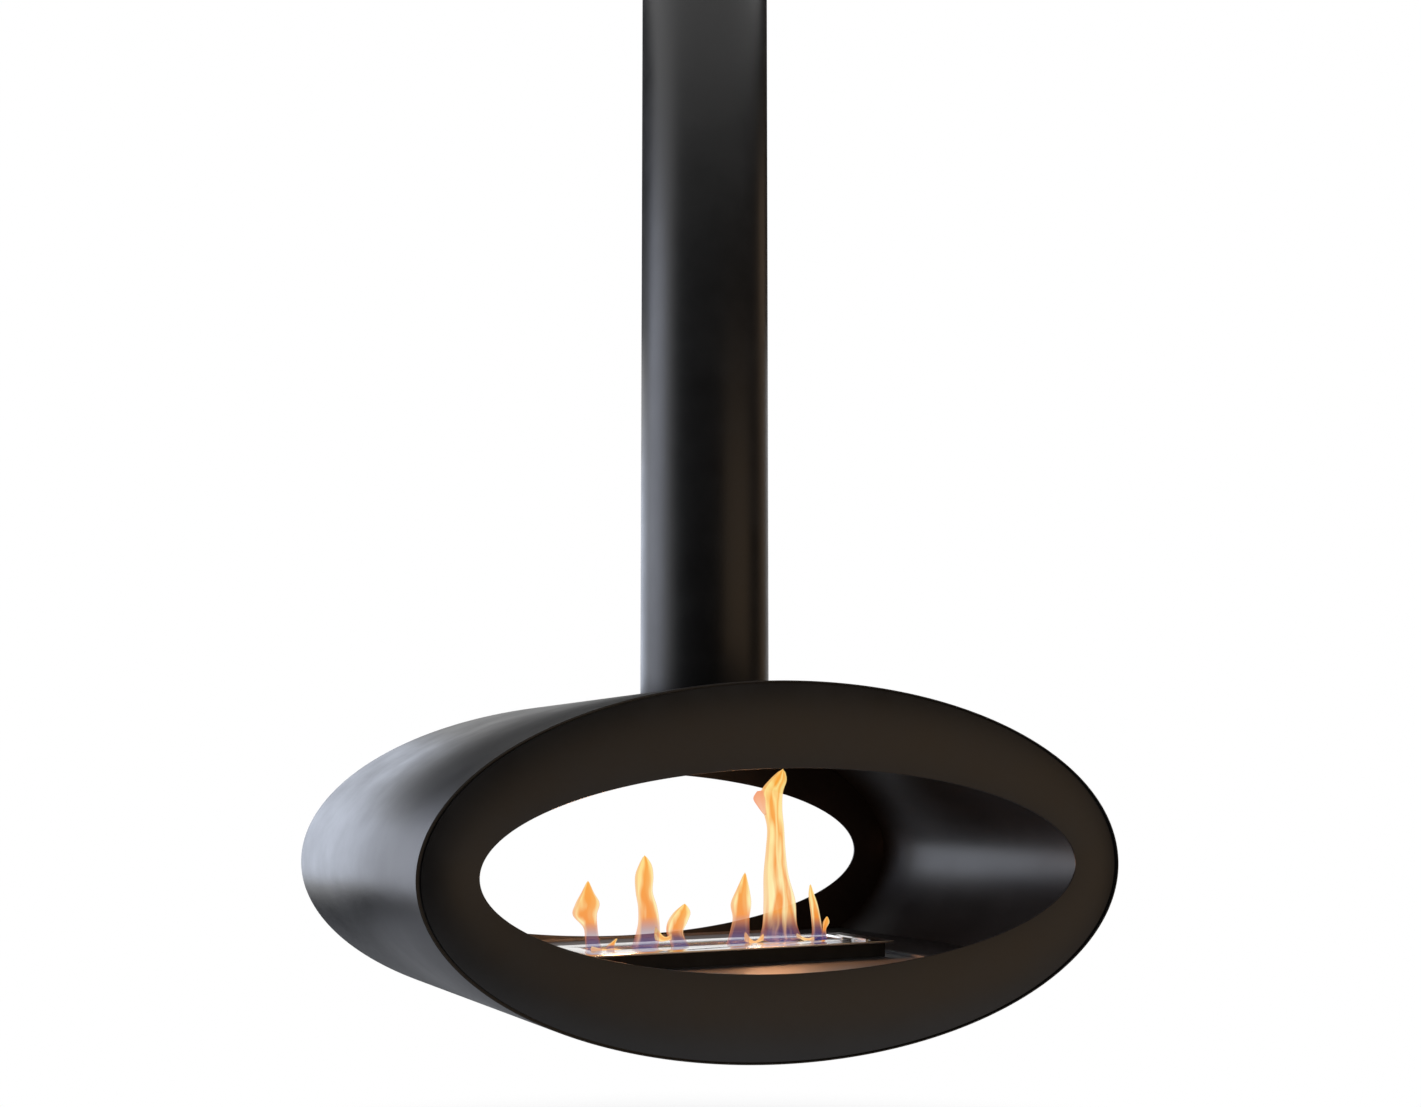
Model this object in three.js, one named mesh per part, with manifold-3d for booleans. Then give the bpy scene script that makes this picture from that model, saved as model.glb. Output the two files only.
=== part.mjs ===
// A see-through hanging fireplace: an elliptical double-walled steel tunnel that hangs from the ceiling
// on a threaded rod inside a round pipe, with a lift-out ethanol burner standing on the tunnel's floor.
// Millimetres, +X right, +Y back, +Z up. The origin is the middle of the ceiling plate's upper face.
import * as THREE from "three";
import { mergeVertices } from "three/addons/utils/BufferGeometryUtils.js";
import Module from "manifold-3d";

const wasm = await Module();
wasm.setup();

// ---------- driving dimensions ----------

const fit = 0.3; // clearance between pieces that touch

// body
const bodyWidth = 1100;
const bodyHeight = 520;
const bodyDepth = 630;
const dropToBody = 1122; // from the ceiling down to the crown of the body
const shellWall = 2;
const openingWidth = 936;
const openingHeight = 279;
const faceThickness = 3;
const faceSetback = 1.5; // the face plate lies this far inside the shell's edge
const revealSide = 5; // shadow gap round the face plate, at its sides
const revealCrown = 1.2; // and at its crown
const ribThickness = 4;
const wallGap = 14; // between the shell and the liner
const linerWall = 1.5;
const blanketClearance = 0.7;
const blanketEndAngle = 14; // degrees above the horizontal where the blankets end

// pipe and suspension
const pipeDiameter = 200;
const pipeWall = 2;
const pipeTopGap = 1; // below the ceiling
const ceilingPlateThickness = 8;
const collarWall = 6;
const collarHeight = 45;
const anchorCircle = 140;
const anchorHoleDiameter = 11;
const yokeWidth = 40;
const yokeThickness = 6;
const yokeInnerSpan = 70;
const yokeDrop = 52; // clear height under the ceiling plate
const yokeFlange = 24;
const yokeBoltDiameter = 8;
const yokeBoltHeadAcross = 13;
const yokeBoltHeadHeight = 5.3;
const rodDiameter = 16;
const rodHoleSlack = 1; // on the diameter
const rodNutAcross = 24;
const rodNutHeight = 13;
const lockNutHeight = 8;
const washerThickness = 3;
const upperWasherDiameter = 30;
const lowerWasherDiameter = 40;
const rodTail = 6; // thread standing out past the outer nut
const footPlateThickness = 6;
const footSpigotHeight = 36;
const footSpigotWall = 6;
const bridgeWidth = 60;
const bridgeThickness = 10;
const accessHoleDiameter = 64;

// cover over the lower nuts
const coverDiameter = 96;
const coverFlangeDiameter = 124;
const coverFlangeThickness = 4;
const coverWall = 1.5;
const coverRounding = 9;
const coverScrewCount = 3;
const coverScrewCircle = 110;
const coverScrewDiameter = 4;
const coverScrewHeadDiameter = 8;
const coverScrewHeadHeight = 2.4;

// floor inside the tunnel
const trayDepthBelowAxis = 145; // from the body's axis down to the tray's floor
const trayWidth = 540;
const trayStep = 3; // height of the wings above the tray's floor
const trayWall = 1.5;
const trayHem = 10;
const wingThickness = 2;
const wingFlange = 2;
const cutoutClearance = 3; // round the tank
const railHeight = 30;
const railFlange = 25;
const railWall = 3;
const railSpacing = 400;

// burner
const burnerOffset = -70; // the burner stands in front of mid depth
const rimThickness = 2.5;
const rimRadius = 3;
const rimOverhangEnd = 12; // past the skirt at its ends
const rimOverhangSide = 9; // and at its long sides
const skirtHeight = 21.5;
const skirtWall = 1.5;
const skirtGap = 1.5; // between the skirt and the tank's flange
const slotInsetLeft = 6; // from the tank's left end to the slot's left end
const slotInsetRight = 32; // and at the right, where the damper's tab stands
const slotWidth = 48;
const slotLipHeight = 3;
const slotLipThickness = 2;
const tankLength = 455;
const tankWidth = 120;
const tankDepth = 67;
const tankWall = 1.2;
const tankRadius = 6;
const tankFlangeEnd = 10; // reach of the flange at the tank's ends
const tankFlangeSide = 7; // and at its long sides
const damperThickness = 1.5;
const damperOverlap = 1; // over each long edge of the slot
const damperLap = 8; // over the slot's left end
const damperParkGap = 1; // between the parked damper and the flange's front edge
const tabLength = 40;
const tabThickness = 5;
const tabHeight = 3; // above the rim plate
const tabSetback = 17; // from the slot's right end to the tab's middle
const guideSlotWidth = 10;
const guideWidth = 3.5;
const gridThickness = 1.2;
const gridBelowFlange = 4.6;
const gridWeb = 5.5; // metal between two openings of a row
const gridSlotWidth = 8;
const gridColumns = 15;
const gridRows = 3;
const gridPitchY = 14;
const gridMargin = 3; // between the grid and the tank's walls
const padCount = 3;
const padGap = 2;

// smoothness
const ellipseSteps = 120;
const pipeSteps = 60;
const coverSteps = 36;
const smallSteps = 24;
const screwSteps = 12;
const cornerSteps = 4;

// ---------- derived sizes ----------

const halfWidth = bodyWidth / 2;
const halfHeight = bodyHeight / 2;
const halfDepth = bodyDepth / 2;
const axisHeight = -(dropToBody + halfHeight); // height of the body's axis
const shellInner = [halfWidth - shellWall, halfHeight - shellWall];
const linerOuter = [shellInner[0] - wallGap, shellInner[1] - wallGap];
const linerInner = [linerOuter[0] - linerWall, linerOuter[1] - linerWall];
const faceFront = halfDepth - faceSetback; // distance of a face plate's outer side from mid depth
const faceBack = faceFront - faceThickness;
const innerHalfDepth = faceBack - fit; // the space between the two face plates
const ribBack = innerHalfDepth - ribThickness;
const pipeRadius = pipeDiameter / 2;
const pipeInnerRadius = pipeRadius - pipeWall;
const rodRadius = rodDiameter / 2;
const rodHoleRadius = (rodDiameter + rodHoleSlack) / 2;
const nutBoreRadius = rodRadius + fit;

const bridgeTop = heightOnEllipse(shellInner, bridgeWidth / 2) - fit;
const bridgeBottom = bridgeTop - bridgeThickness;
const lowerWasherTop = bridgeBottom - fit;
const lowerNutTop = lowerWasherTop - washerThickness - fit;
const lowerLockNutTop = lowerNutTop - rodNutHeight - fit;
const rodBottom = lowerLockNutTop - lockNutHeight - rodTail;
const coverFlangeTop = linerInner[1] - fit;
const coverFlangeBottom = coverFlangeTop - coverFlangeThickness;
const coverBottom = rodBottom - rodTail - coverWall;

const yokeTop = -ceilingPlateThickness - fit;
const yokeWebTop = -ceilingPlateThickness - yokeDrop;
const yokeWebBottom = yokeWebTop - yokeThickness;
const yokeBoltX = yokeInnerSpan / 2 + yokeThickness + yokeFlange / 2;
const upperWasherTop = yokeWebTop + fit + washerThickness;
const upperNutTop = upperWasherTop + fit + rodNutHeight;
const upperLockNutTop = yokeWebBottom - fit;
const rodTop = upperNutTop + rodTail;

const trayTop = -trayDepthBelowAxis;
const trayHalf = trayWidth / 2;
const wingTop = trayTop + trayStep;
const trayUnderside = trayTop - trayWall;
const railTop = trayUnderside - fit;

const tankFlangeLength = tankLength + 2 * tankFlangeEnd;
const tankFlangeWidth = tankWidth + 2 * tankFlangeSide;
const cutoutLength = tankLength + 2 * cutoutClearance;
const cutoutWidth = tankWidth + 2 * cutoutClearance;
const skirtLength = tankFlangeLength + 2 * (skirtGap + skirtWall);
const skirtWidth = tankFlangeWidth + 2 * (skirtGap + skirtWall);
const rimLength = skirtLength + 2 * rimOverhangEnd;
const rimWidth = skirtWidth + 2 * rimOverhangSide;
const slotLeft = slotInsetLeft - tankLength / 2;
const slotRight = tankLength / 2 - slotInsetRight;
const slotLength = slotRight - slotLeft;
const slotMiddle = (slotLeft + slotRight) / 2;
const skirtBottom = trayTop + fit;
const skirtTop = skirtBottom + skirtHeight;
const rimBottom = skirtTop + fit;
const rimTop = rimBottom + rimThickness;
const damperTop = rimBottom - fit;
const damperBottom = damperTop - damperThickness;
const tankTop = damperBottom - fit;
const tankBottom = tankTop - tankDepth;
const gridTop = tankTop - gridBelowFlange;
const padTop = gridTop - gridThickness - fit;
const padBottom = tankBottom + tankWall + fit;
const damperWidth = slotWidth + 2 * damperOverlap;
const damperTravel = slotWidth + damperOverlap;
const damperOpenY = damperParkGap + (damperWidth - tankFlangeWidth) / 2; // its middle when parked
const slotOffset = damperOpenY + damperTravel; // the slot lies behind the middle of the rim
const gridPitchX = slotLength / gridColumns;
const damperLeft = slotLeft - damperLap;
const tabX = slotRight + tabSetback;
const damperRight = tabX + guideSlotWidth / 2 + fit + tabThickness / 2;

// ---------- solids ----------

function heightOnEllipse([a, b], x) {
  return b * Math.sqrt(1 - (x / a) ** 2);
}

function widthOnEllipse([a, b], z) {
  return a * Math.sqrt(1 - (z / b) ** 2);
}

/** A closed geometry as a solid that can be cut and joined. */
function solid(geometry) {
  const bare = geometry.clone();
  bare.deleteAttribute("normal");
  bare.deleteAttribute("uv");
  const merged = mergeVertices(bare, 1e-4);
  return new wasm.Manifold(
    new wasm.Mesh({
      numProp: 3,
      vertProperties: merged.attributes.position.array,
      triVerts: new Uint32Array(merged.index.array),
    }),
  );
}

/** A solid back as a geometry. */
function geometryOf(body) {
  const mesh = body.getMesh();
  const geometry = new THREE.BufferGeometry();
  geometry.setAttribute("position", new THREE.BufferAttribute(mesh.vertProperties, 3));
  geometry.setIndex(new THREE.BufferAttribute(mesh.triVerts, 1));
  geometry.computeVertexNormals();
  return geometry;
}

function box(x0, x1, y0, y1, z0, z1) {
  const geometry = new THREE.BoxGeometry(x1 - x0, y1 - y0, z1 - z0);
  geometry.translate((x0 + x1) / 2, (y0 + y1) / 2, (z0 + z1) / 2);
  return solid(geometry);
}

/** A round bar or a prism along Z. */
function bar(radius, z0, z1, x = 0, y = 0, sides = smallSteps) {
  const geometry = new THREE.CylinderGeometry(radius, radius, z1 - z0, sides);
  geometry.rotateX(Math.PI / 2);
  geometry.translate(x, y, (z0 + z1) / 2);
  return solid(geometry);
}

/** A hexagon along Z, with its size given across the flats. */
function hexagon(across, z0, z1, x = 0, y = 0) {
  return bar(across / Math.sqrt(3), z0, z1, x, y, 6);
}

/** An outline in the XY plane, drawn up along Z. */
function raise(shape, z0, z1, curveSegments = cornerSteps) {
  const geometry = new THREE.ExtrudeGeometry(shape, { depth: z1 - z0, bevelEnabled: false, curveSegments });
  geometry.translate(0, 0, z0);
  return solid(geometry);
}

/** An outline in the XZ plane, drawn back along Y. */
function drawBack(shape, y0, y1) {
  const geometry = new THREE.ExtrudeGeometry(shape, { depth: y1 - y0, bevelEnabled: false });
  geometry.rotateX(Math.PI / 2);
  geometry.translate(0, y1, 0);
  return solid(geometry);
}

/** A profile of [radius, height] points turned about Z. */
function turned(profile, steps) {
  const points = profile.map(([radius, height]) => new THREE.Vector2(radius, height));
  const geometry = new THREE.LatheGeometry(points, steps);
  geometry.rotateX(Math.PI / 2);
  return solid(geometry);
}

function polygon(points) {
  return new THREE.Shape(points.map(([x, y]) => new THREE.Vector2(x, y)));
}

/** Points of an ellipse between two angles; every ellipse of the body shares the same steps. */
function ellipsePoints([a, b], from = 0, to = 2 * Math.PI) {
  const step = (2 * Math.PI) / ellipseSteps;
  const count = Math.round((to - from) / step);
  const last = to - from < 2 * Math.PI ? count : count - 1;
  const points = [];
  for (let i = 0; i <= last; i++) {
    const t = from + ((to - from) * i) / count;
    points.push(new THREE.Vector2(a * Math.cos(t), b * Math.sin(t)));
  }
  return points;
}

/** The filled ellipse, drawn back along Y. */
function ellipticalPlug(axes, y0, y1) {
  return drawBack(new THREE.Shape(ellipsePoints(axes)), y0, y1);
}

/** The ring between two ellipses, drawn back along Y. */
function ellipticalRing(outer, inner, y0, y1) {
  const shape = new THREE.Shape(ellipsePoints(outer));
  shape.holes.push(new THREE.Path(ellipsePoints(inner)));
  return drawBack(shape, y0, y1);
}

/** A rectangle with rounded corners, as a shape or as a hole in one. */
function roundedRectangle(length, width, radius, x = 0, y = 0, path = new THREE.Shape()) {
  const right = x + length / 2 - radius;
  const left = x - length / 2 + radius;
  const back = y + width / 2 - radius;
  const front = y - width / 2 + radius;
  path.absarc(right, back, radius, 0, Math.PI / 2);
  path.absarc(left, back, radius, Math.PI / 2, Math.PI);
  path.absarc(left, front, radius, Math.PI, 1.5 * Math.PI);
  path.absarc(right, front, radius, 1.5 * Math.PI, 2 * Math.PI);
  path.closePath();
  return path;
}

/** A washer, nut bore or tube section drawn up along Z. */
function tube(outerRadius, innerRadius, z0, z1, steps = smallSteps) {
  const shape = new THREE.Shape();
  shape.absarc(0, 0, outerRadius, 0, 2 * Math.PI);
  const hole = new THREE.Path();
  hole.absarc(0, 0, innerRadius, 0, 2 * Math.PI, true);
  shape.holes.push(hole);
  return raise(shape, z0, z1, steps / 2);
}

function nut(across, z0, z1) {
  return hexagon(across, z0, z1).subtract(bar(nutBoreRadius, z0 - 1, z1 + 1));
}

// ---------- finishes ----------

const finishes = {
  satinBlack: { color: 0x1b1b1c, roughness: 0.45, metalness: 0.1 },
  burnerBlack: { color: 0x141312, roughness: 0.4, metalness: 0.1 },
  brushedStainless: { color: 0xb9bcc2, roughness: 0.35, metalness: 1 },
  zincPlate: { color: 0xa9adb0, roughness: 0.4, metalness: 1 },
  rawSteel: { color: 0x6c6d6e, roughness: 0.55, metalness: 1 },
  ceramicWool: { color: 0xe6e2d8, roughness: 1, metalness: 0 },
};

function piece(name, body, finish) {
  const material = new THREE.MeshStandardMaterial(finishes[finish]);
  const mesh = new THREE.Mesh(geometryOf(body), material);
  mesh.name = name;
  return mesh;
}

// ---------- suspension, from the ceiling down ----------

function ceilingPlate() {
  const outer = pipeInnerRadius - fit;
  const inner = outer - collarWall;
  const under = -ceilingPlateThickness;
  let plate = turned(
    [
      [0, under],
      [inner, under],
      [inner, -collarHeight],
      [outer, -collarHeight],
      [outer, 0],
      [0, 0],
    ],
    pipeSteps,
  );
  for (let i = 0; i < 4; i++) {
    const angle = Math.PI / 4 + (i * Math.PI) / 2;
    const x = (anchorCircle / 2) * Math.cos(angle);
    const y = (anchorCircle / 2) * Math.sin(angle);
    plate = plate.subtract(bar(anchorHoleDiameter / 2, under - 1, 1, x, y));
  }
  for (const side of [-1, 1]) {
    plate = plate.subtract(bar(yokeBoltDiameter / 2 + fit, under - 1, 1, side * yokeBoltX));
  }
  return plate;
}

/** A hat-shaped strap under the ceiling plate that carries the rod's upper nut. */
function hangerYoke() {
  const inner = yokeInnerSpan / 2;
  const outer = inner + yokeThickness;
  const tip = outer + yokeFlange;
  const under = yokeTop - yokeThickness;
  const outline = polygon([
    [-tip, yokeTop],
    [-inner, yokeTop],
    [-inner, yokeWebTop],
    [inner, yokeWebTop],
    [inner, yokeTop],
    [tip, yokeTop],
    [tip, under],
    [outer, under],
    [outer, yokeWebBottom],
    [-outer, yokeWebBottom],
    [-outer, under],
    [-tip, under],
  ]);
  let yoke = drawBack(outline, -yokeWidth / 2, yokeWidth / 2);
  yoke = yoke.subtract(bar(rodHoleRadius, yokeWebBottom - 1, yokeWebTop + 1));
  for (const side of [-1, 1]) {
    yoke = yoke.subtract(bar(yokeBoltDiameter / 2 + fit, under - 1, yokeTop + 1, side * yokeBoltX));
  }
  return yoke;
}

function yokeBolt(side) {
  const headTop = yokeTop - yokeThickness - fit;
  const x = side * yokeBoltX;
  const head = hexagon(yokeBoltHeadAcross, headTop - yokeBoltHeadHeight, headTop, x);
  return head.add(bar(yokeBoltDiameter / 2, headTop - 1, -fit, x));
}

/** The pipe's lower end is cut to the curve of the body's crown. */
function hangingPipe() {
  const cutter = ellipticalPlug([halfWidth + fit, halfHeight + fit], -pipeDiameter, pipeDiameter);
  const stub = tube(pipeRadius, pipeInnerRadius, axisHeight + halfHeight / 2, -pipeTopGap, pipeSteps);
  return stub.subtract(cutter.translate(0, 0, axisHeight));
}

function buildSuspension() {
  const group = new THREE.Group();
  group.add(
    piece("ceiling_plate", ceilingPlate(), "rawSteel"),
    piece("hanger_yoke", hangerYoke(), "zincPlate"),
    piece("yoke_bolt_left", yokeBolt(-1), "zincPlate"),
    piece("yoke_bolt_right", yokeBolt(1), "zincPlate"),
    piece("suspension_rod", bar(rodRadius, axisHeight + rodBottom, rodTop), "zincPlate"),
    piece("upper_nut", nut(rodNutAcross, upperWasherTop + fit, upperNutTop), "zincPlate"),
    piece(
      "upper_washer",
      tube(upperWasherDiameter / 2, rodHoleRadius, yokeWebTop + fit, upperWasherTop),
      "zincPlate",
    ),
    piece("upper_lock_nut", nut(rodNutAcross, upperLockNutTop - lockNutHeight, upperLockNutTop), "zincPlate"),
    piece("hanging_pipe", hangingPipe(), "satinBlack"),
  );
  return group;
}

// ---------- body: shell, liner, face plates, ribs ----------

/** A flanged disc that seats on the crown and centres the pipe's lower end on its spigot. */
function pipeFoot() {
  const outer = pipeInnerRadius - fit;
  const inner = outer - footSpigotWall;
  const seat = halfHeight + fit;
  const under = halfHeight / 2;
  const foot = turned(
    [
      [rodHoleRadius, under],
      [outer, under],
      [outer, seat + footSpigotHeight],
      [inner, seat + footSpigotHeight],
      [inner, seat + footPlateThickness],
      [rodHoleRadius, seat + footPlateThickness],
      [rodHoleRadius, under],
    ],
    pipeSteps,
  );
  return foot.subtract(ellipticalPlug([halfWidth + fit, seat], -pipeDiameter, pipeDiameter));
}

function outerShell() {
  const ring = ellipticalRing([halfWidth, halfHeight], shellInner, -halfDepth, halfDepth);
  return ring.subtract(bar(rodHoleRadius, halfHeight / 2, halfHeight + 1));
}

/** Side -1 is the front, 1 the rear. */
function facePlate(side) {
  const outer = [shellInner[0] - revealSide, shellInner[1] - revealCrown];
  const opening = [openingWidth / 2, openingHeight / 2];
  const [near, far] = [side * faceBack, side * faceFront].sort((p, q) => p - q);
  return ellipticalRing(outer, opening, near, far);
}

/** A flat hoop that joins the shell and the liner behind a face plate. */
function rib(side) {
  const outer = shellInner.map((r) => r - fit);
  const inner = linerOuter.map((r) => r + fit);
  const [near, far] = [side * ribBack, side * innerHalfDepth].sort((p, q) => p - q);
  return ellipticalRing(outer, inner, near, far);
}

/** The flat bar under the crown that takes the load of the body from rib to rib. */
function hangerBridge() {
  const end = ribBack - fit;
  const half = bridgeWidth / 2;
  const beam = box(-half, half, -end, end, bridgeBottom, bridgeTop);
  return beam.subtract(bar(rodHoleRadius, bridgeBottom - 1, bridgeTop + 1));
}

function coverScrewPlaces() {
  const places = [];
  for (let i = 0; i < coverScrewCount; i++) {
    const angle = Math.PI / 2 + (i * 2 * Math.PI) / coverScrewCount;
    places.push([(coverScrewCircle / 2) * Math.cos(angle), (coverScrewCircle / 2) * Math.sin(angle)]);
  }
  return places;
}

function innerLiner() {
  let liner = ellipticalRing(linerOuter, linerInner, -innerHalfDepth, innerHalfDepth);
  liner = liner.subtract(bar(accessHoleDiameter / 2, linerInner[1] / 2, linerOuter[1] + 1));
  for (const [x, y] of coverScrewPlaces()) {
    const hole = bar(coverScrewDiameter / 2 + fit, linerInner[1] / 2, linerOuter[1] + 1, x, y, screwSteps);
    liner = liner.subtract(hole);
  }
  return liner;
}

/** Heat-insulating blanket in the gap over the fire, on one side of the bridge. */
function blanket(side) {
  const outer = shellInner.map((r) => r - blanketClearance);
  const inner = linerOuter.map((r) => r + blanketClearance);
  const from = THREE.MathUtils.degToRad(blanketEndAngle);
  const to = Math.acos((bridgeWidth / 2 + blanketClearance) / inner[0]);
  const outline = new THREE.Shape([
    ...ellipsePoints(outer, from, to),
    ...ellipsePoints(inner, from, to).reverse(),
  ]);
  const end = ribBack - blanketClearance;
  const half = drawBack(outline, -end, end);
  return side > 0 ? half : half.mirror([1, 0, 0]);
}

/** A round cap over the rod's lower nuts, seated on the liner's curve. */
function nutCover() {
  const outer = coverDiameter / 2;
  const inner = outer - coverWall;
  const flange = coverFlangeDiameter / 2;
  const arc = (radius, reverse) => {
    const points = [];
    for (let i = 0; i <= cornerSteps; i++) {
      const angle = -Math.PI / 2 + ((reverse ? cornerSteps - i : i) / cornerSteps) * (Math.PI / 2);
      const centre = [outer - coverRounding, coverBottom + coverRounding];
      points.push([centre[0] + radius * Math.cos(angle), centre[1] + radius * Math.sin(angle)]);
    }
    return points;
  };
  let cover = turned(
    [
      [0, coverBottom],
      ...arc(coverRounding, false),
      [outer, coverFlangeBottom],
      [flange, coverFlangeBottom],
      [flange, linerInner[1]],
      [inner, linerInner[1]],
      ...arc(coverRounding - coverWall, true),
      [0, coverBottom + coverWall],
    ],
    coverSteps,
  );
  cover = cover.intersect(ellipticalPlug([linerInner[0] - fit, coverFlangeTop], -flange, flange));
  for (const [x, y] of coverScrewPlaces()) {
    const hole = bar(coverScrewDiameter / 2 + fit, coverFlangeBottom - 1, linerInner[1], x, y, screwSteps);
    cover = cover.subtract(hole);
  }
  return cover;
}

function coverScrew([x, y]) {
  const headTop = coverFlangeBottom - fit;
  const tip = heightOnEllipse(linerOuter, x);
  const head = bar(coverScrewHeadDiameter / 2, headTop - coverScrewHeadHeight, headTop, x, y, screwSteps);
  return head.add(bar(coverScrewDiameter / 2, headTop - 1, tip, x, y, screwSteps));
}

function buildBody() {
  const group = new THREE.Group();
  group.position.z = axisHeight;
  group.add(
    piece("pipe_foot", pipeFoot(), "rawSteel"),
    piece("outer_shell", outerShell(), "satinBlack"),
    piece("front_face_plate", facePlate(-1), "satinBlack"),
    piece("rear_face_plate", facePlate(1), "satinBlack"),
    piece("front_rib", rib(-1), "satinBlack"),
    piece("rear_rib", rib(1), "satinBlack"),
    piece("hanger_bridge", hangerBridge(), "rawSteel"),
    piece(
      "lower_washer",
      tube(lowerWasherDiameter / 2, rodHoleRadius, lowerWasherTop - washerThickness, lowerWasherTop),
      "zincPlate",
    ),
    piece("lower_nut", nut(rodNutAcross, lowerNutTop - rodNutHeight, lowerNutTop), "zincPlate"),
    piece("lower_lock_nut", nut(rodNutAcross, lowerLockNutTop - lockNutHeight, lowerLockNutTop), "zincPlate"),
    piece("inner_liner", innerLiner(), "satinBlack"),
    piece("insulation_left", blanket(-1), "ceramicWool"),
    piece("insulation_right", blanket(1), "ceramicWool"),
    piece("nut_cover", nutCover(), "satinBlack"),
  );
  coverScrewPlaces().forEach((place, i) => {
    group.add(piece("cover_screw_" + (i + 1), coverScrew(place), "satinBlack"));
  });
  return group;
}

// ---------- floor ----------

/** A shallow pan whose side walls are hemmed over the wings, with a cut-out for the burner's tank. */
function floorTray() {
  const end = innerHalfDepth;
  const hemBottom = wingTop + fit;
  const hemTop = hemBottom + trayWall;
  let tray = box(-trayHalf, trayHalf, -end, end, trayUnderside, hemTop);
  const inside = trayHalf - trayWall;
  tray = tray.subtract(box(-inside, inside, -end + trayWall, end - trayWall, trayTop, hemTop + 1));
  for (const side of [-1, 1]) {
    const [x0, x1] = [side * (trayHalf - trayWall), side * (trayHalf + trayHem)].sort((p, q) => p - q);
    tray = tray.add(box(x0, x1, -end, end, hemBottom, hemTop));
  }
  const cutout = roundedRectangle(cutoutLength, cutoutWidth, tankRadius, 0, burnerOffset);
  return tray.subtract(raise(cutout, trayUnderside - 1, trayTop + 1));
}

/** The plate from the tray to the liner's wall, with its inner edge turned down on to the rails. */
function floorWing(side) {
  const end = innerHalfDepth;
  const x0 = trayHalf + fit;
  const x1 = widthOnEllipse(linerInner, wingTop - wingThickness) - 2 * fit;
  const plate = box(x0, x1, -end, end, wingTop - wingThickness, wingTop);
  const wing = plate.add(box(x0, x0 + wingFlange, -end, end, trayUnderside, wingTop));
  return side > 0 ? wing : wing.mirror([1, 0, 0]);
}

/** An angle across the tunnel, its ends cut to the liner's curve. */
function floorRail(side) {
  const middle = (side * railSpacing) / 2;
  const half = railFlange / 2;
  const reach = linerInner[0];
  const top = box(-reach, reach, middle - half, middle + half, railTop - railWall, railTop);
  const webY = middle + side * (half - railWall / 2);
  const web = box(-reach, reach, webY - railWall / 2, webY + railWall / 2, railTop - railHeight, railTop);
  const space = ellipticalPlug([linerInner[0] - 2 * fit, linerInner[1] - 2 * fit], -halfDepth, halfDepth);
  return top.add(web).intersect(space);
}

function buildFloor() {
  const group = new THREE.Group();
  group.position.z = axisHeight;
  group.add(
    piece("floor_tray", floorTray(), "satinBlack"),
    piece("floor_wing_left", floorWing(-1), "satinBlack"),
    piece("floor_wing_right", floorWing(1), "satinBlack"),
    piece("floor_rail_front", floorRail(-1), "rawSteel"),
    piece("floor_rail_rear", floorRail(1), "rawSteel"),
  );
  return group;
}

// ---------- burner ----------

function burnerSkirt() {
  const outline = roundedRectangle(skirtLength, skirtWidth, rimRadius);
  const inside = roundedRectangle(
    skirtLength - 2 * skirtWall,
    skirtWidth - 2 * skirtWall,
    rimRadius - skirtWall,
    0,
    0,
    new THREE.Path(),
  );
  outline.holes.push(inside);
  return raise(outline, skirtBottom, skirtTop);
}

/** The stainless plate with the flame slot, a lip at the slot's end and the slot for the damper's tab. */
function burnerRim() {
  const outline = roundedRectangle(rimLength, rimWidth, rimRadius);
  outline.holes.push(
    roundedRectangle(slotLength, slotWidth, rimRadius, slotMiddle, slotOffset, new THREE.Path()),
    roundedRectangle(
      guideSlotWidth,
      tabLength + damperTravel + 2,
      rimRadius,
      tabX,
      damperOpenY + damperTravel / 2,
      new THREE.Path(),
    ),
  );
  const half = slotWidth / 2;
  const lip = box(
    slotRight,
    slotRight + slotLipThickness,
    slotOffset - half,
    slotOffset + half,
    rimTop - rimThickness / 2,
    rimTop + slotLipHeight,
  );
  return raise(outline, rimBottom, rimTop).add(lip);
}

/** A flanged stainless tub that holds the fuel in its wool pads. */
function fuelTank() {
  const flange = raise(
    roundedRectangle(tankFlangeLength, tankFlangeWidth, tankRadius),
    tankTop - tankWall,
    tankTop,
  );
  const tub = raise(roundedRectangle(tankLength, tankWidth, tankRadius), tankBottom, tankTop);
  const inside = roundedRectangle(
    tankLength - 2 * tankWall,
    tankWidth - 2 * tankWall,
    tankRadius - tankWall,
  );
  return flange.add(tub).subtract(raise(inside, tankBottom + tankWall, tankTop + 1));
}

/** The perforated plate that holds the pads down and spreads the flame. */
function flameGrid() {
  const margin = tankWall + gridMargin;
  const outline = roundedRectangle(tankLength - 2 * margin, tankWidth - 2 * margin, rimRadius);
  let grid = raise(outline, gridTop - gridThickness, gridTop);
  for (let row = 0; row < gridRows; row++) {
    for (let column = 0; column < gridColumns; column++) {
      const x = slotMiddle + (column - (gridColumns - 1) / 2) * gridPitchX;
      const y = slotOffset + (row - (gridRows - 1) / 2) * gridPitchY;
      const [dx, dy] = [(gridPitchX - gridWeb) / 2, gridSlotWidth / 2];
      grid = grid.subtract(box(x - dx, x + dx, y - dy, y + dy, gridTop - 2 * gridThickness, gridTop + 1));
    }
  }
  return grid;
}

function woolPad(index) {
  const inside = tankLength - 2 * (tankWall + gridMargin);
  const length = (inside - (padCount - 1) * padGap) / padCount;
  const x = -inside / 2 + length / 2 + index * (length + padGap);
  const width = tankWidth - 2 * (tankWall + fit);
  return raise(roundedRectangle(length, width, rimRadius, x), padBottom, padTop);
}

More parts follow.
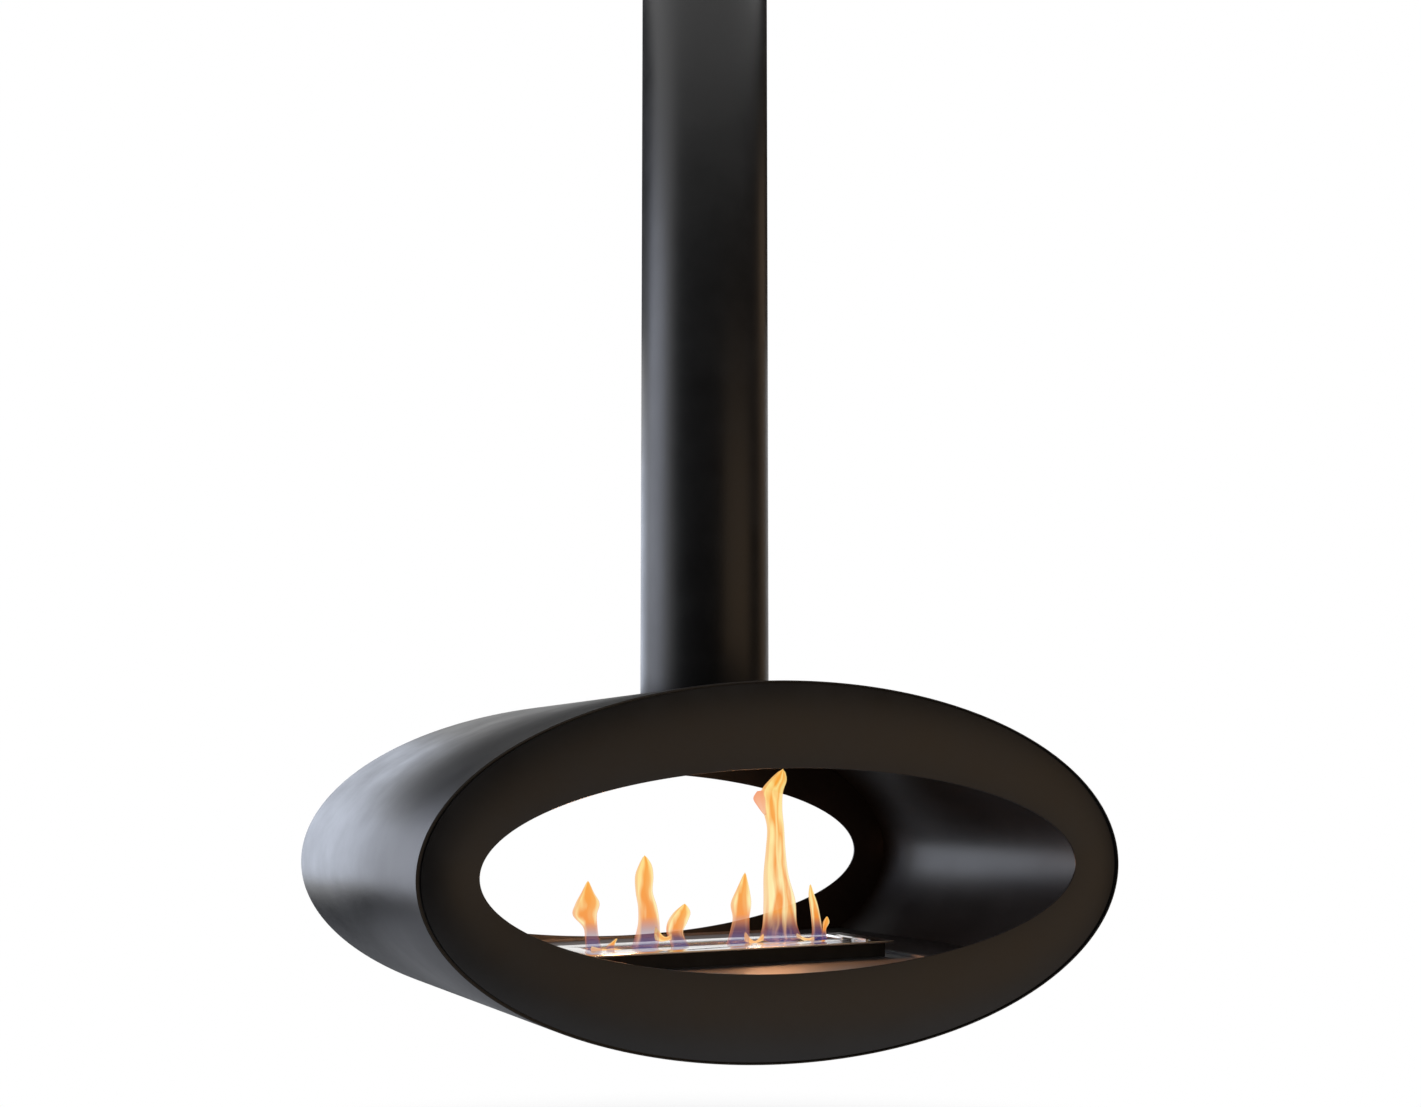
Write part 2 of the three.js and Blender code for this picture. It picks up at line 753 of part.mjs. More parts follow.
/** A strip between the rim plate and the tank's flange that keeps one end of the damper in line. */
function damperGuide(side) {
  const end = side < 0 ? damperLeft - fit : damperRight + fit;
  const [x0, x1] = [end, end + side * guideWidth].sort((p, q) => p - q);
  const half = tankFlangeWidth / 2;
  return box(x0, x1, -half, half, damperBottom, damperTop);
}

/** The plate that closes the slot, with a low tab that stands up through the rim plate. */
function damperPlate() {
  const half = damperWidth / 2;
  const plate = box(damperLeft, damperRight, damperOpenY - half, damperOpenY + half, damperBottom, damperTop);
  const tab = box(
    tabX - tabThickness / 2,
    tabX + tabThickness / 2,
    damperOpenY - tabLength / 2,
    damperOpenY + tabLength / 2,
    damperTop - damperThickness / 2,
    rimTop + tabHeight,
  );
  return plate.add(tab);
}

function buildBurner() {
  const group = new THREE.Group();
  group.position.set(0, burnerOffset, axisHeight);
  group.add(
    piece("burner_skirt", burnerSkirt(), "burnerBlack"),
    piece("burner_rim", burnerRim(), "brushedStainless"),
    piece("fuel_tank", fuelTank(), "brushedStainless"),
    piece("flame_grid", flameGrid(), "brushedStainless"),
    piece("damper_guide_left", damperGuide(-1), "brushedStainless"),
    piece("damper_guide_right", damperGuide(1), "brushedStainless"),
    piece("damper_plate", damperPlate(), "brushedStainless"),
  );
  for (let i = 0; i < padCount; i++) {
    group.add(piece("wool_pad_" + (i + 1), woolPad(i), "ceramicWool"));
  }
  return group;
}

const fireplace = new THREE.Group();
fireplace.add(buildSuspension(), buildBody(), buildFloor(), buildBurner());

export default fireplace;
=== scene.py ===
"""Hanging fireplace: an elliptical steel tunnel on a ceiling pipe, with a linear ethanol burner.

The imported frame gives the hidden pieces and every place. The pieces that show are modelled again
here with finer outlines, and everything gets its finish, the flames, the studio and the camera.
"""

import logging
import math
from collections.abc import Callable, Sequence
from dataclasses import dataclass
from enum import Enum

import bpy
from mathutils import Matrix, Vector

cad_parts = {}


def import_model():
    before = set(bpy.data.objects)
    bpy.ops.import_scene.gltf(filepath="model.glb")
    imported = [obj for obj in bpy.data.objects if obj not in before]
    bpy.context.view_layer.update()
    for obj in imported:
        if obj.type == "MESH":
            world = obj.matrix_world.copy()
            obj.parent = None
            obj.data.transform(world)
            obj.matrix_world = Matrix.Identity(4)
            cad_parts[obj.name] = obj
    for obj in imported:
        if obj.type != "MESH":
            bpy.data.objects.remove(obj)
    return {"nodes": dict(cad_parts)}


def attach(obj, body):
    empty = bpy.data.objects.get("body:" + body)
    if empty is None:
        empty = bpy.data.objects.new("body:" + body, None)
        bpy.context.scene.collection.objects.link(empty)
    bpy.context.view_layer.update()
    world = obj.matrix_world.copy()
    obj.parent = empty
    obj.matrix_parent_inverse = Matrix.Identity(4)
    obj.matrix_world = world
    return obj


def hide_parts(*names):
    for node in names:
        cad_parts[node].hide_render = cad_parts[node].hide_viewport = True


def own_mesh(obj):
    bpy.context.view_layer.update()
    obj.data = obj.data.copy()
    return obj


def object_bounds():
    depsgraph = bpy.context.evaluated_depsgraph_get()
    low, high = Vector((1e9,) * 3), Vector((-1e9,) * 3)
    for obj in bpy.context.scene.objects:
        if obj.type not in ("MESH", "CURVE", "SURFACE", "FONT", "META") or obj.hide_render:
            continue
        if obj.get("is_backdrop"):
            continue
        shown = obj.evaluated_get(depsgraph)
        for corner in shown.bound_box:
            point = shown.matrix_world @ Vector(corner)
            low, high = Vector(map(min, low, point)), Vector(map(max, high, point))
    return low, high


LOG = logging.getLogger("fireplace")

MM = 0.001
AXIS_Z = -1.382  # height of the body's axis under the ceiling
OUTLINE_STEPS = 288  # vertices round each ellipse that shows
PIPE_STEPS = 144
CUT_DEPTH = 0.02  # height of a cutter that goes through a sheet

Point = tuple[float, float, float]


class Body(Enum):
    """The bodies of the frame that pieces ride on."""

    FRAME = "frame"
    BURNER = "burner"


class Slot(Enum):
    """The record's material slots."""

    SATIN_BLACK = "satin_black"
    BURNER_BLACK = "burner_black"
    STAINLESS = "brushed_stainless"
    ZINC = "zinc_plate"
    RAW_STEEL = "raw_steel"
    WOOL = "ceramic_wool"


# ---------- modelling helpers ----------


def select_only(*objects: bpy.types.Object) -> None:
    """Selects these objects alone, the first of them active.

    Args:
        objects: the objects to select.
    """
    bpy.ops.object.select_all(action="DESELECT")
    for obj in objects:
        obj.select_set(True)
    bpy.context.view_layer.objects.active = objects[0]


def new_piece(name: str) -> bpy.types.Object:
    """Names the primitive that was just added and puts its place into its mesh.

    Args:
        name: the piece's name.

    Returns:
        The active object, at the origin, unturned and unscaled.
    """
    obj = bpy.context.active_object
    obj.name = obj.data.name = name
    select_only(obj)
    bpy.ops.object.transform_apply(location=True, rotation=True, scale=True)
    return obj


def select_where(obj: bpy.types.Object, test: Callable[[Vector], bool], mode: str = "VERT") -> None:
    """Opens a piece in edit mode with the elements selected whose vertices all pass a test.

    Args:
        obj: the piece.
        test: says of a vertex's place whether it is wanted.
        mode: the select mode, VERT, EDGE or FACE.
    """
    select_only(obj)
    bpy.ops.object.mode_set(mode="EDIT")
    bpy.ops.mesh.select_mode(type="VERT")
    bpy.ops.mesh.select_all(action="DESELECT")
    bpy.ops.object.mode_set(mode="OBJECT")
    for vertex in obj.data.vertices:
        vertex.select = test(vertex.co)
    bpy.ops.object.mode_set(mode="EDIT")
    bpy.ops.mesh.select_mode(type=mode)


def open_all(obj: bpy.types.Object) -> None:
    """Opens a piece in edit mode with everything selected.

    Args:
        obj: the piece.
    """
    select_only(obj)
    bpy.ops.object.mode_set(mode="EDIT")
    bpy.ops.mesh.select_mode(type="VERT")
    bpy.ops.mesh.select_all(action="SELECT")


def close_edit() -> None:
    """Goes back to object mode."""
    bpy.ops.object.mode_set(mode="OBJECT")


def close_outwards() -> None:
    """Turns all normals outwards and goes back to object mode."""
    bpy.ops.mesh.select_all(action="SELECT")
    bpy.ops.mesh.normals_make_consistent(inside=False)
    close_edit()


def face_up(sheet: bpy.types.Object) -> None:
    """Turns an open sheet's normals so that its largest face looks up.

    Args:
        sheet: the sheet.
    """
    open_all(sheet)
    close_outwards()
    if max(sheet.data.polygons, key=lambda face: face.area).normal.z < 0:
        open_all(sheet)
        bpy.ops.mesh.flip_normals()
        close_edit()


def extrude_edges(step: Point) -> None:
    """Extrudes the selected edges by a step.

    Args:
        step: the move in metres.
    """
    bpy.ops.mesh.extrude_edges_move(TRANSFORM_OT_translate={"value": step})


def apply_modifier(obj: bpy.types.Object, kind: str, **settings: object) -> None:
    """Adds a modifier to a piece and applies it.

    Args:
        obj: the piece.
        kind: the modifier's type.
        settings: the modifier's own settings.
    """
    modifier = obj.modifiers.new(kind.lower(), kind)
    for key, value in settings.items():
        setattr(modifier, key, value)
    select_only(obj)
    bpy.ops.object.modifier_apply(modifier=modifier.name)


def give_wall(obj: bpy.types.Object, thickness: float, offset: float = -1.0) -> None:
    """Turns an open sheet into a wall.

    Args:
        obj: the sheet.
        thickness: the wall in metres.
        offset: -1 grows the wall behind the sheet's normals, 1 in front of them.
    """
    apply_modifier(obj, "SOLIDIFY", thickness=thickness, offset=offset, use_even_offset=True)


def soften_edges(obj: bpy.types.Object, width: float, segments: int = 2, angle: float = 40.0) -> None:
    """Breaks a piece's sharp edges and shades it smooth between them.

    Args:
        obj: the piece.
        width: the width of the broken edge in metres.
        segments: the steps across it.
        angle: the least angle, in degrees, of an edge that counts as sharp.
    """
    apply_modifier(
        obj,
        "BEVEL",
        width=width,
        segments=segments,
        limit_method="ANGLE",
        angle_limit=math.radians(angle),
        harden_normals=False,
    )
    shade(obj, angle)


def shade(obj: bpy.types.Object, angle: float = 40.0) -> None:
    """Shades a piece smooth.

    Args:
        obj: the piece.
        angle: the least angle, in degrees, of an edge that stays sharp.
    """
    select_only(obj)
    bpy.ops.object.shade_smooth_by_angle(angle=math.radians(angle))


def cut(obj: bpy.types.Object, cutter: bpy.types.Object, operation: str = "DIFFERENCE") -> None:
    """Cuts a piece with a cutter, or joins the two, and removes the cutter.

    Args:
        obj: the piece.
        cutter: the solid that cuts it or joins it.
        operation: DIFFERENCE or UNION.
    """
    apply_modifier(obj, "BOOLEAN", object=cutter, operation=operation, solver="EXACT")
    bpy.data.objects.remove(cutter, do_unlink=True)


def ellipse(name: str, axes: tuple[float, float], y: float, fill: str = "NOTHING") -> bpy.types.Object:
    """An ellipse across the tunnel, about the body's axis.

    Args:
        name: the piece's name.
        axes: half the width and half the height in metres.
        y: its place along the tunnel.
        fill: NOTHING for the outline or NGON for a face.

    Returns:
        The new piece.
    """
    bpy.ops.mesh.primitive_circle_add(
        vertices=OUTLINE_STEPS,
        radius=1.0,
        fill_type=fill,
        location=(0, y, AXIS_Z),
        rotation=(math.pi / 2, 0, 0),
    )
    bpy.context.active_object.scale = (axes[0], axes[1], 1)
    return new_piece(name)


def elliptical_sheet(name: str, axes: tuple[float, float], y0: float, y1: float) -> bpy.types.Object:
    """A sheet rolled to an ellipse, its normals outwards.

    Args:
        name: the piece's name.
        axes: half the width and half the height in metres.
        y0: where it starts along the tunnel.
        y1: where it ends.

    Returns:
        The new piece.
    """
    sheet = ellipse(name, axes, y0)
    open_all(sheet)
    extrude_edges((0, y1 - y0, 0))
    close_outwards()
    return sheet


def elliptical_plug(axes: tuple[float, float], y0: float, y1: float) -> bpy.types.Object:
    """A solid ellipse along the tunnel, used as a cutter.

    Args:
        axes: half the width and half the height in metres.
        y0: where it starts along the tunnel.
        y1: where it ends.

    Returns:
        The cutter.
    """
    plug = ellipse("cutter", axes, y0, fill="NGON")
    open_all(plug)
    bpy.ops.mesh.extrude_region_move(TRANSFORM_OT_translate={"value": (0, y1 - y0, 0)})
    close_outwards()
    return plug


def rounded_plate(
    name: str, size: tuple[float, float], centre: Point, radius: float, steps: int = 5
) -> bpy.types.Object:
    """A flat rectangle with rounded corners, facing up.

    Args:
        name: the piece's name.
        size: its length along X and width along Y in metres.
        centre: the middle of it.
        radius: the corner's radius.
        steps: the steps round a corner.

    Returns:
        The new piece, one face without a wall.
    """
    bpy.ops.mesh.primitive_plane_add(size=1.0, location=centre)
    bpy.context.active_object.scale = (size[0], size[1], 1)
    plate = new_piece(name)
    open_all(plate)
    bpy.ops.mesh.bevel(offset=radius, segments=steps, affect="VERTICES")
    close_edit()
    return plate


def block_from(plate: bpy.types.Object, height: float) -> bpy.types.Object:
    """Extrudes a flat face up into a solid.

    Args:
        plate: the face.
        height: how far up.

    Returns:
        The same piece.
    """
    open_all(plate)
    bpy.ops.mesh.extrude_region_move(TRANSFORM_OT_translate={"value": (0, 0, height)})
    close_outwards()
    return plate


# ---------- node helpers ----------


def linear(code: str) -> tuple[float, float, float, float]:
    """An sRGB hex colour as linear values.

    Args:
        code: six hex digits.

    Returns:
        Red, green, blue and full alpha.
    """
    parts = [int(code[i : i + 2], 16) / 255 for i in (0, 2, 4)]
    values = [c / 12.92 if c <= 0.04045 else ((c + 0.055) / 1.055) ** 2.4 for c in parts]
    return (values[0], values[1], values[2], 1.0)


def add_node(
    tree: bpy.types.NodeTree,
    kind: str,
    inputs: dict[str | int, object] | None = None,
    **settings: object,
) -> bpy.types.Node:
    """Adds a node, sets it and links it.

    Args:
        tree: the node tree.
        kind: the node's type.
        inputs: for each input, a value or the socket that feeds it.
        settings: the node's own settings.

    Returns:
        The new node.
    """
    node = tree.nodes.new(kind)
    for key, value in settings.items():
        setattr(node, key, value)
    for key, value in (inputs or {}).items():
        if isinstance(value, bpy.types.NodeSocket):
            tree.links.new(value, node.inputs[key])
        else:
            node.inputs[key].default_value = value
    return node


def new_tree(name: str) -> tuple[bpy.types.Material, bpy.types.NodeTree, bpy.types.NodeSocket]:
    """A new material with an empty tree and its object coordinates.

    Args:
        name: the material's name.

    Returns:
        The material, its tree and the Object coordinates' socket.
    """
    material = bpy.data.materials.new(name)
    material.use_nodes = True
    tree = material.node_tree
    tree.nodes.clear()
    coordinates = add_node(tree, "ShaderNodeTexCoord")
    return material, tree, coordinates.outputs["Object"]


def add_ramp(
    tree: bpy.types.NodeTree,
    factor: bpy.types.NodeSocket,
    stops: Sequence[tuple[float, tuple[float, float, float, float]]],
) -> bpy.types.NodeSocket:
    """A colour ramp.

    Args:
        tree: the node tree.
        factor: the socket that drives it.
        stops: the places and the linear colours.

    Returns:
        The colour's socket.
    """
    node = add_node(tree, "ShaderNodeValToRGB", {"Fac": factor})
    elements = node.color_ramp.elements
    while len(elements) < len(stops):
        elements.new(0.5)
    for element, (place, colour) in zip(elements, stops):
        element.position = place
        element.color = colour
    return node.outputs["Color"]


def add_range(
    tree: bpy.types.NodeTree,
    value: bpy.types.NodeSocket,
    source: tuple[float, float],
    target: tuple[float, float],
) -> bpy.types.NodeSocket:
    """Maps one range onto another.

    Args:
        tree: the node tree.
        value: the socket to map.
        source: the range that it comes from.
        target: the range that it goes to.

    Returns:
        The mapped value's socket.
    """
    settings = {"Value": value, "From Min": source[0], "From Max": source[1]}
    settings |= {"To Min": target[0], "To Max": target[1]}
    return add_node(tree, "ShaderNodeMapRange", settings).outputs["Result"]


def add_math(
    tree: bpy.types.NodeTree, operation: str, *values: bpy.types.NodeSocket
) -> bpy.types.NodeSocket:
    """One step of arithmetic.

    Args:
        tree: the node tree.
        operation: the operation.
        values: the sockets that it works on.

    Returns:
        The result's socket.
    """
    return add_node(tree, "ShaderNodeMath", dict(enumerate(values)), operation=operation).outputs["Value"]


def add_mix(
    tree: bpy.types.NodeTree, share: bpy.types.NodeSocket, first: object, second: object
) -> bpy.types.NodeSocket:
    """Mixes two colours.

    Args:
        tree: the node tree.
        share: the second colour's share.
        first: the colour where the share is 0.
        second: the colour where it is 1.

    Returns:
        The mixed colour's socket.
    """
    node = add_node(tree, "ShaderNodeMixRGB", {"Fac": share, "Color1": first, "Color2": second})
    return node.outputs["Color"]


def add_noise(
    tree: bpy.types.NodeTree, place: bpy.types.NodeSocket, scale: float, **inputs: float
) -> bpy.types.NodeSocket:
    """A noise texture.

    Args:
        tree: the node tree.
        place: the coordinates' socket.
        scale: the waves per metre.
        inputs: its other inputs by name.

    Returns:
        The noise's socket.
    """
    settings = {"Vector": place, "Scale": scale, **inputs}
    return add_node(tree, "ShaderNodeTexNoise", settings).outputs["Fac"]


def stretched(
    tree: bpy.types.NodeTree, place: bpy.types.NodeSocket, scale: Point
) -> bpy.types.NodeSocket:
    """Coordinates scaled apart along X, Y and Z.

    Args:
        tree: the node tree.
        place: the coordinates' socket.
        scale: the three scales.

    Returns:
        The scaled coordinates' socket.
    """
    return add_node(tree, "ShaderNodeMapping", {"Vector": place, "Scale": scale}).outputs["Vector"]


def add_bump(
    tree: bpy.types.NodeTree, height: bpy.types.NodeSocket, strength: float, depth_mm: float
) -> bpy.types.NodeSocket:
    """A bump.

    Args:
        tree: the node tree.
        height: the socket that drives it.
        strength: its strength.
        depth_mm: its depth in millimetres.

    Returns:
        The normal's socket.
    """
    settings = {"Height": height, "Strength": strength, "Distance": depth_mm * MM}
    return add_node(tree, "ShaderNodeBump", settings).outputs["Normal"]


def show_surface(tree: bpy.types.NodeTree, kind: str, inputs: dict[str | int, object]) -> None:
    """Adds the shader that a material shows.

    Args:
        tree: the node tree.
        kind: the shader's type.
        inputs: for each input, a value or the socket that feeds it.
    """
    shader = add_node(tree, kind, inputs)
    add_node(tree, "ShaderNodeOutputMaterial", {"Surface": shader.outputs[0]})


def show_partly(
    tree: bpy.types.NodeTree, share: bpy.types.NodeSocket, shader: bpy.types.Node
) -> None:
    """Shows a shader by a share and lets the rest of the light through.

    Args:
        tree: the node tree.
        share: the shader's share.
        shader: the shader.
    """
    clear = add_node(tree, "ShaderNodeBsdfTransparent")
    show_surface(
        tree, "ShaderNodeMixShader", {0: share, 1: clear.outputs["BSDF"], 2: shader.outputs[0]}
    )


# ---------- finishes ----------


@dataclass(frozen=True)
class PowderCoatedSteel:
    """Satin black powder coat on mild steel: an even dark film with a fine orange peel."""

    name: str = "satin_black_powder_coat"
    tone: str = "1c1b1b"
    tone_deep: str = "141313"
    roughness: float = 0.36
    gloss: float = 0.62
    peel_mm: float = 2.2  # the film's ripple, drawn a little coarser than the real 1.5 mm
    mottle_mm: float = 70.0

    def build(self) -> bpy.types.Material:
        """Makes the material.

        Returns:
            The finished material.
        """
        material, tree, place = new_tree(self.name)
        mottle = add_noise(tree, place, 1 / (self.mottle_mm * MM), Detail=4.0, Roughness=0.6)
        peel = add_noise(tree, place, 1 / (self.peel_mm * MM), Detail=2.0, Roughness=0.5)
        tones = [(0.3, linear(self.tone_deep)), (0.7, linear(self.tone))]
        rough = (self.roughness - 0.03, self.roughness + 0.05)
        show_surface(
            tree,
            "ShaderNodeBsdfPrincipled",
            {
                "Base Color": add_ramp(tree, mottle, tones),
                "Roughness": add_range(tree, mottle, (0.25, 0.75), rough),
                "Specular IOR Level": self.gloss,
                "IOR": 1.5,
                "Normal": add_bump(tree, peel, 0.12, 0.05),
            },
        )
        return material


@dataclass(frozen=True)
class TrayCoatPaintedLight(PowderCoatedSteel):
    """The tray's satin black coat: rougher than the powder coat and pale at a low angle, with a paler grey
    tone that is painted light on the tray floor.
    """

    name: str = "satin_tray_coat_painted_light"
    # paler grey than the satin black powder coat: painted light from the flames and the gloss on the tray
    # floor
    tone: str = "6c6a6a"
    tone_deep: str = "605e5e"
    roughness: float = 0.46
    gloss: float = 1.0
    peel_mm: float = 1.6
    mottle_mm: float = 50.0


@dataclass(frozen=True)
class BrushedStainless:
    """Brushed stainless steel: long fine scratches along X that stretch the highlights."""

    name: str = "brushed_stainless_steel"
    tone: str = "e9e8e5"
    tone_dark: str = "d0cecb"
    roughness: float = 0.16
    scratch_mm: float = 0.9  # scratch spacing, drawn coarser than the real 0.2 mm so that it shows
    scratch_length_mm: float = 60.0
    stains_per_metre: float = 18.0

    def build(self) -> bpy.types.Material:
        """Makes the material.

        Returns:
            The finished material.
        """
        material, tree, place = new_tree(self.name)
        across, along = 1 / (self.scratch_mm * MM), 1 / (self.scratch_length_mm * MM)
        scratches = stretched(tree, place, (along, across, across))
        grain = add_noise(tree, scratches, 1.0, Detail=5.0, Roughness=0.65)
        stain = add_noise(tree, place, self.stains_per_metre, Detail=3.0)
        tones = [(0.3, linear(self.tone_dark)), (0.7, linear(self.tone))]
        rough = (self.roughness - 0.02, self.roughness + 0.03)
        show_surface(
            tree,
            "ShaderNodeBsdfPrincipled",
            {
                "Base Color": add_ramp(tree, grain, tones),
                "Metallic": 1.0,
                "Roughness": add_range(tree, stain, (0.3, 0.7), rough),
                "Normal": add_bump(tree, grain, 0.1, 0.03),
            },
        )
        return material


@dataclass(frozen=True)
class StovePaint:
    """Heat-resistant stove paint: matt black with a dry, finely grained skin."""

    name: str = "stove_paint_black"
    tone: str = "17150f"
    tone_worn: str = "26231f"
    roughness: float = 0.55
    grain_mm: float = 1.2
    patches_per_metre: float = 25.0

    def build(self) -> bpy.types.Material:
        """Makes the material.

        Returns:
            The finished material.
        """
        material, tree, place = new_tree(self.name)
        grain = add_noise(tree, place, 1 / (self.grain_mm * MM), Detail=3.0)
        patches = add_noise(tree, place, self.patches_per_metre, Detail=4.0)
        tones = [(0.4, linear(self.tone)), (0.8, linear(self.tone_worn))]
        show_surface(
            tree,
            "ShaderNodeBsdfPrincipled",
            {
                "Base Color": add_ramp(tree, patches, tones),
                "Roughness": self.roughness,
                "IOR": 1.5,
                "Normal": add_bump(tree, grain, 0.2, 0.05),
            },
        )
        return material


@dataclass(frozen=True)
class ZincPlatedSteel:
    """Bright zinc plate: a bluish silver skin with faint crystals."""

    name: str = "zinc_plated_steel"
    tone: str = "c3c7c9"
    tone_dark: str = "979ca0"
    roughness: float = 0.36
    crystal_mm: float = 3.0
    haze_per_metre: float = 90.0

    def build(self) -> bpy.types.Material:
        """Makes the material.

        Returns:
            The finished material.
        """
        material, tree, place = new_tree(self.name)
        crystals = add_node(
            tree, "ShaderNodeTexVoronoi", {"Vector": place, "Scale": 1 / (self.crystal_mm * MM)}
        )
        haze = add_noise(tree, place, self.haze_per_metre, Detail=3.0)
        tones = [(0.1, linear(self.tone)), (0.9, linear(self.tone_dark))]
        rough = (self.roughness - 0.08, self.roughness + 0.1)
        show_surface(
            tree,
            "ShaderNodeBsdfPrincipled",
            {
                "Base Color": add_ramp(tree, crystals.outputs["Distance"], tones),
                "Metallic": 1.0,
                "Roughness": add_range(tree, haze, (0.0, 1.0), rough),
            },
        )
        return material


@dataclass(frozen=True)
class MillFinishSteel:
    """Hot-rolled mild steel: blue-grey mill scale in soft blotches."""

    name: str = "hot_rolled_steel"
    tone: str = "6d6f72"
    tone_scale: str = "44464a"
    roughness: float = 0.52
    blotch_mm: float = 22.0

    def build(self) -> bpy.types.Material:
        """Makes the material.

        Returns:
            The finished material.
        """
        material, tree, place = new_tree(self.name)
        blotches = add_noise(tree, place, 1 / (self.blotch_mm * MM), Detail=6.0, Roughness=0.65)
        tones = [(0.35, linear(self.tone_scale)), (0.7, linear(self.tone))]
        show_surface(
            tree,
            "ShaderNodeBsdfPrincipled",
            {
                "Base Color": add_ramp(tree, blotches, tones),
                "Metallic": 1.0,
                "Roughness": self.roughness,
                "Normal": add_bump(tree, blotches, 0.3, 0.08),
            },
        )
        return material


@dataclass(frozen=True)
class CeramicFibre:
    """Ceramic fibre blanket: soft white wool, spun in layers, slightly yellowed."""

    name: str = "ceramic_fibre_wool"
    tone: str = "efece4"
    tone_shade: str = "d5cebf"
    roughness: float = 0.95
    fibre_mm: float = 1.6
    fibres_per_metre: float = 120.0
    clump_mm: float = 14.0

    def build(self) -> bpy.types.Material:
        """Makes the material.

        Returns:
            The finished material.
        """
        material, tree, place = new_tree(self.name)
        along = self.fibres_per_metre
        strands = stretched(tree, place, (along, along, 1 / (self.fibre_mm * MM)))
        fibres = add_noise(tree, strands, 1.0, Detail=6.0, Distortion=1.2)
        clumps = add_noise(tree, place, 1 / (self.clump_mm * MM))
        tones = [(0.3, linear(self.tone_shade)), (0.65, linear(self.tone))]
        show_surface(
            tree,
            "ShaderNodeBsdfPrincipled",
            {
                "Base Color": add_ramp(tree, clumps, tones),
                "Roughness": self.roughness,
                "Normal": add_bump(tree, fibres, 0.6, 0.6),
            },
        )
        return material


@dataclass(frozen=True)
class BurningEthanol:
    """Burning ethanol: blue-violet at the foot, orange above, with pale yellow streams.

    The streams follow the skin's edges, which its "across" attribute gives from -1 to 1. They
    waver in streaks of 14 mm by 70 mm.
    """

    name: str
    clear: float = 0.35  # share of the height over which the foot stays blue
    middle: float = 0.0  # strength of a third stream along the middle
    foot: str = "4d4a9c"
    haze: str = "8f6470"
    body: str = "f5963e"
    tip: str = "fba83e"
    foot_stream: str = "d9a0a0"
    low_stream: str = "ffc890"
    stream: str = "fff6bc"
    tip_stream: str = "ffe188"
    edge: str = "f08344"
    thin: tuple[float, float, float, float] = (0.25, 0.42, 0.8, 0.84)  # density between the streams
    thick: tuple[float, float, float, float] = (0.5, 0.72, 0.86, 0.86)  # and inside them
    streak_mm: float = 14.0
    streak_length_mm: float = 70.0

    def build(self, foot_z: float, tip_z: float) -> bpy.types.Material:
        """Makes the material.

        Args:
            foot_z: the height of the flame's foot.
            tip_z: the height of its tip.

        Returns:
            The finished material.
        """
        material, tree, place = new_tree(self.name)
        axes = add_node(tree, "ShaderNodeSeparateXYZ", {"Vector": place})
        climb = add_range(tree, axes.outputs["Z"], (foot_z, tip_z), (0.0, 1.0))
        wide, long = 1 / (self.streak_mm * MM), 1 / (self.streak_length_mm * MM)
        streaks = add_noise(tree, stretched(tree, place, (wide, wide, long)), 1.0, Detail=1.5)
        waver = add_range(tree, streaks, (0.3, 0.7), (-0.3, 0.3))
        across = add_node(tree, "ShaderNodeAttribute", attribute_name="across").outputs["Fac"]
        side = add_math(tree, "ABSOLUTE", across)
        start = add_range(tree, climb, (0.0, 1.6 * self.clear), (0.8, 0.3))
        near_edge = add_math(tree, "SUBTRACT", add_math(tree, "ADD", side, waver), start)
        stream = add_range(tree, near_edge, (0.0, 0.4), (0.0, 1.0))
        if self.middle:
            bent = add_math(tree, "ADD", across, waver)
            rise = add_range(tree, bent, (-0.3, -0.02), (0.0, self.middle))
            fall = add_range(tree, bent, (0.02, 0.3), (0.0, self.middle))
            stream = add_math(tree, "MAXIMUM", stream, add_math(tree, "SUBTRACT", rise, fall))
        edge = add_range(tree, side, (0.82, 1.0), (0.0, 1.0))
        dull = self.climbing(tree, climb, [linear(t) for t in (self.foot, self.haze, self.body, self.tip)])
        tones = (self.foot_stream, self.low_stream, self.stream, self.tip_stream)
        bright = self.climbing(tree, climb, [linear(tone) for tone in tones])
        colour = add_mix(tree, edge, add_mix(tree, stream, dull, bright), linear(self.edge))
        thin = self.climbing(tree, climb, [(d, d, d, 1.0) for d in self.thin])
        thick = self.climbing(tree, climb, [(d, d, d, 1.0) for d in self.thick])
        fading = add_range(tree, edge, (0.0, 1.0), (1.0, 0.35))
        amount = add_math(tree, "MULTIPLY", add_mix(tree, stream, thin, thick), fading)
        glow = add_node(tree, "ShaderNodeEmission", {"Color": colour, "Strength": 1.0})
        show_partly(tree, amount, glow)
        return material

    def climbing(
        self,
        tree: bpy.types.NodeTree,
        climb: bpy.types.NodeSocket,
        values: Sequence[tuple[float, float, float, float]],
    ) -> bpy.types.NodeSocket:
        """Values that change as the flame climbs.

        Args:
            tree: the node tree.
            climb: the share of the height.
            values: at the foot, half-way up the clear part, above it and at the tip.

        Returns:
            The value's socket.
        """
        places = (0.0, 0.5 * self.clear, self.clear, 1.0)
        return add_ramp(tree, climb, list(zip(places, values)))


class Finishes:
    """The object's finishes, each made once."""

    def __init__(self) -> None:
        """Builds every finish that pieces share."""
        self.by_slot = {
            Slot.SATIN_BLACK: PowderCoatedSteel().build(),
            Slot.BURNER_BLACK: StovePaint().build(),
            Slot.STAINLESS: BrushedStainless().build(),
            Slot.ZINC: ZincPlatedSteel().build(),
            Slot.RAW_STEEL: MillFinishSteel().build(),
            Slot.WOOL: CeramicFibre().build(),
        }

    def dress(self, obj: bpy.types.Object, slot: Slot) -> None:
        """Gives an object the finish of a slot.

        Args:
            obj: a CAD node or a new piece.
            slot: the record's material slot.
        """
        obj.data.materials.clear()
        obj.data.materials.append(self.by_slot[slot])


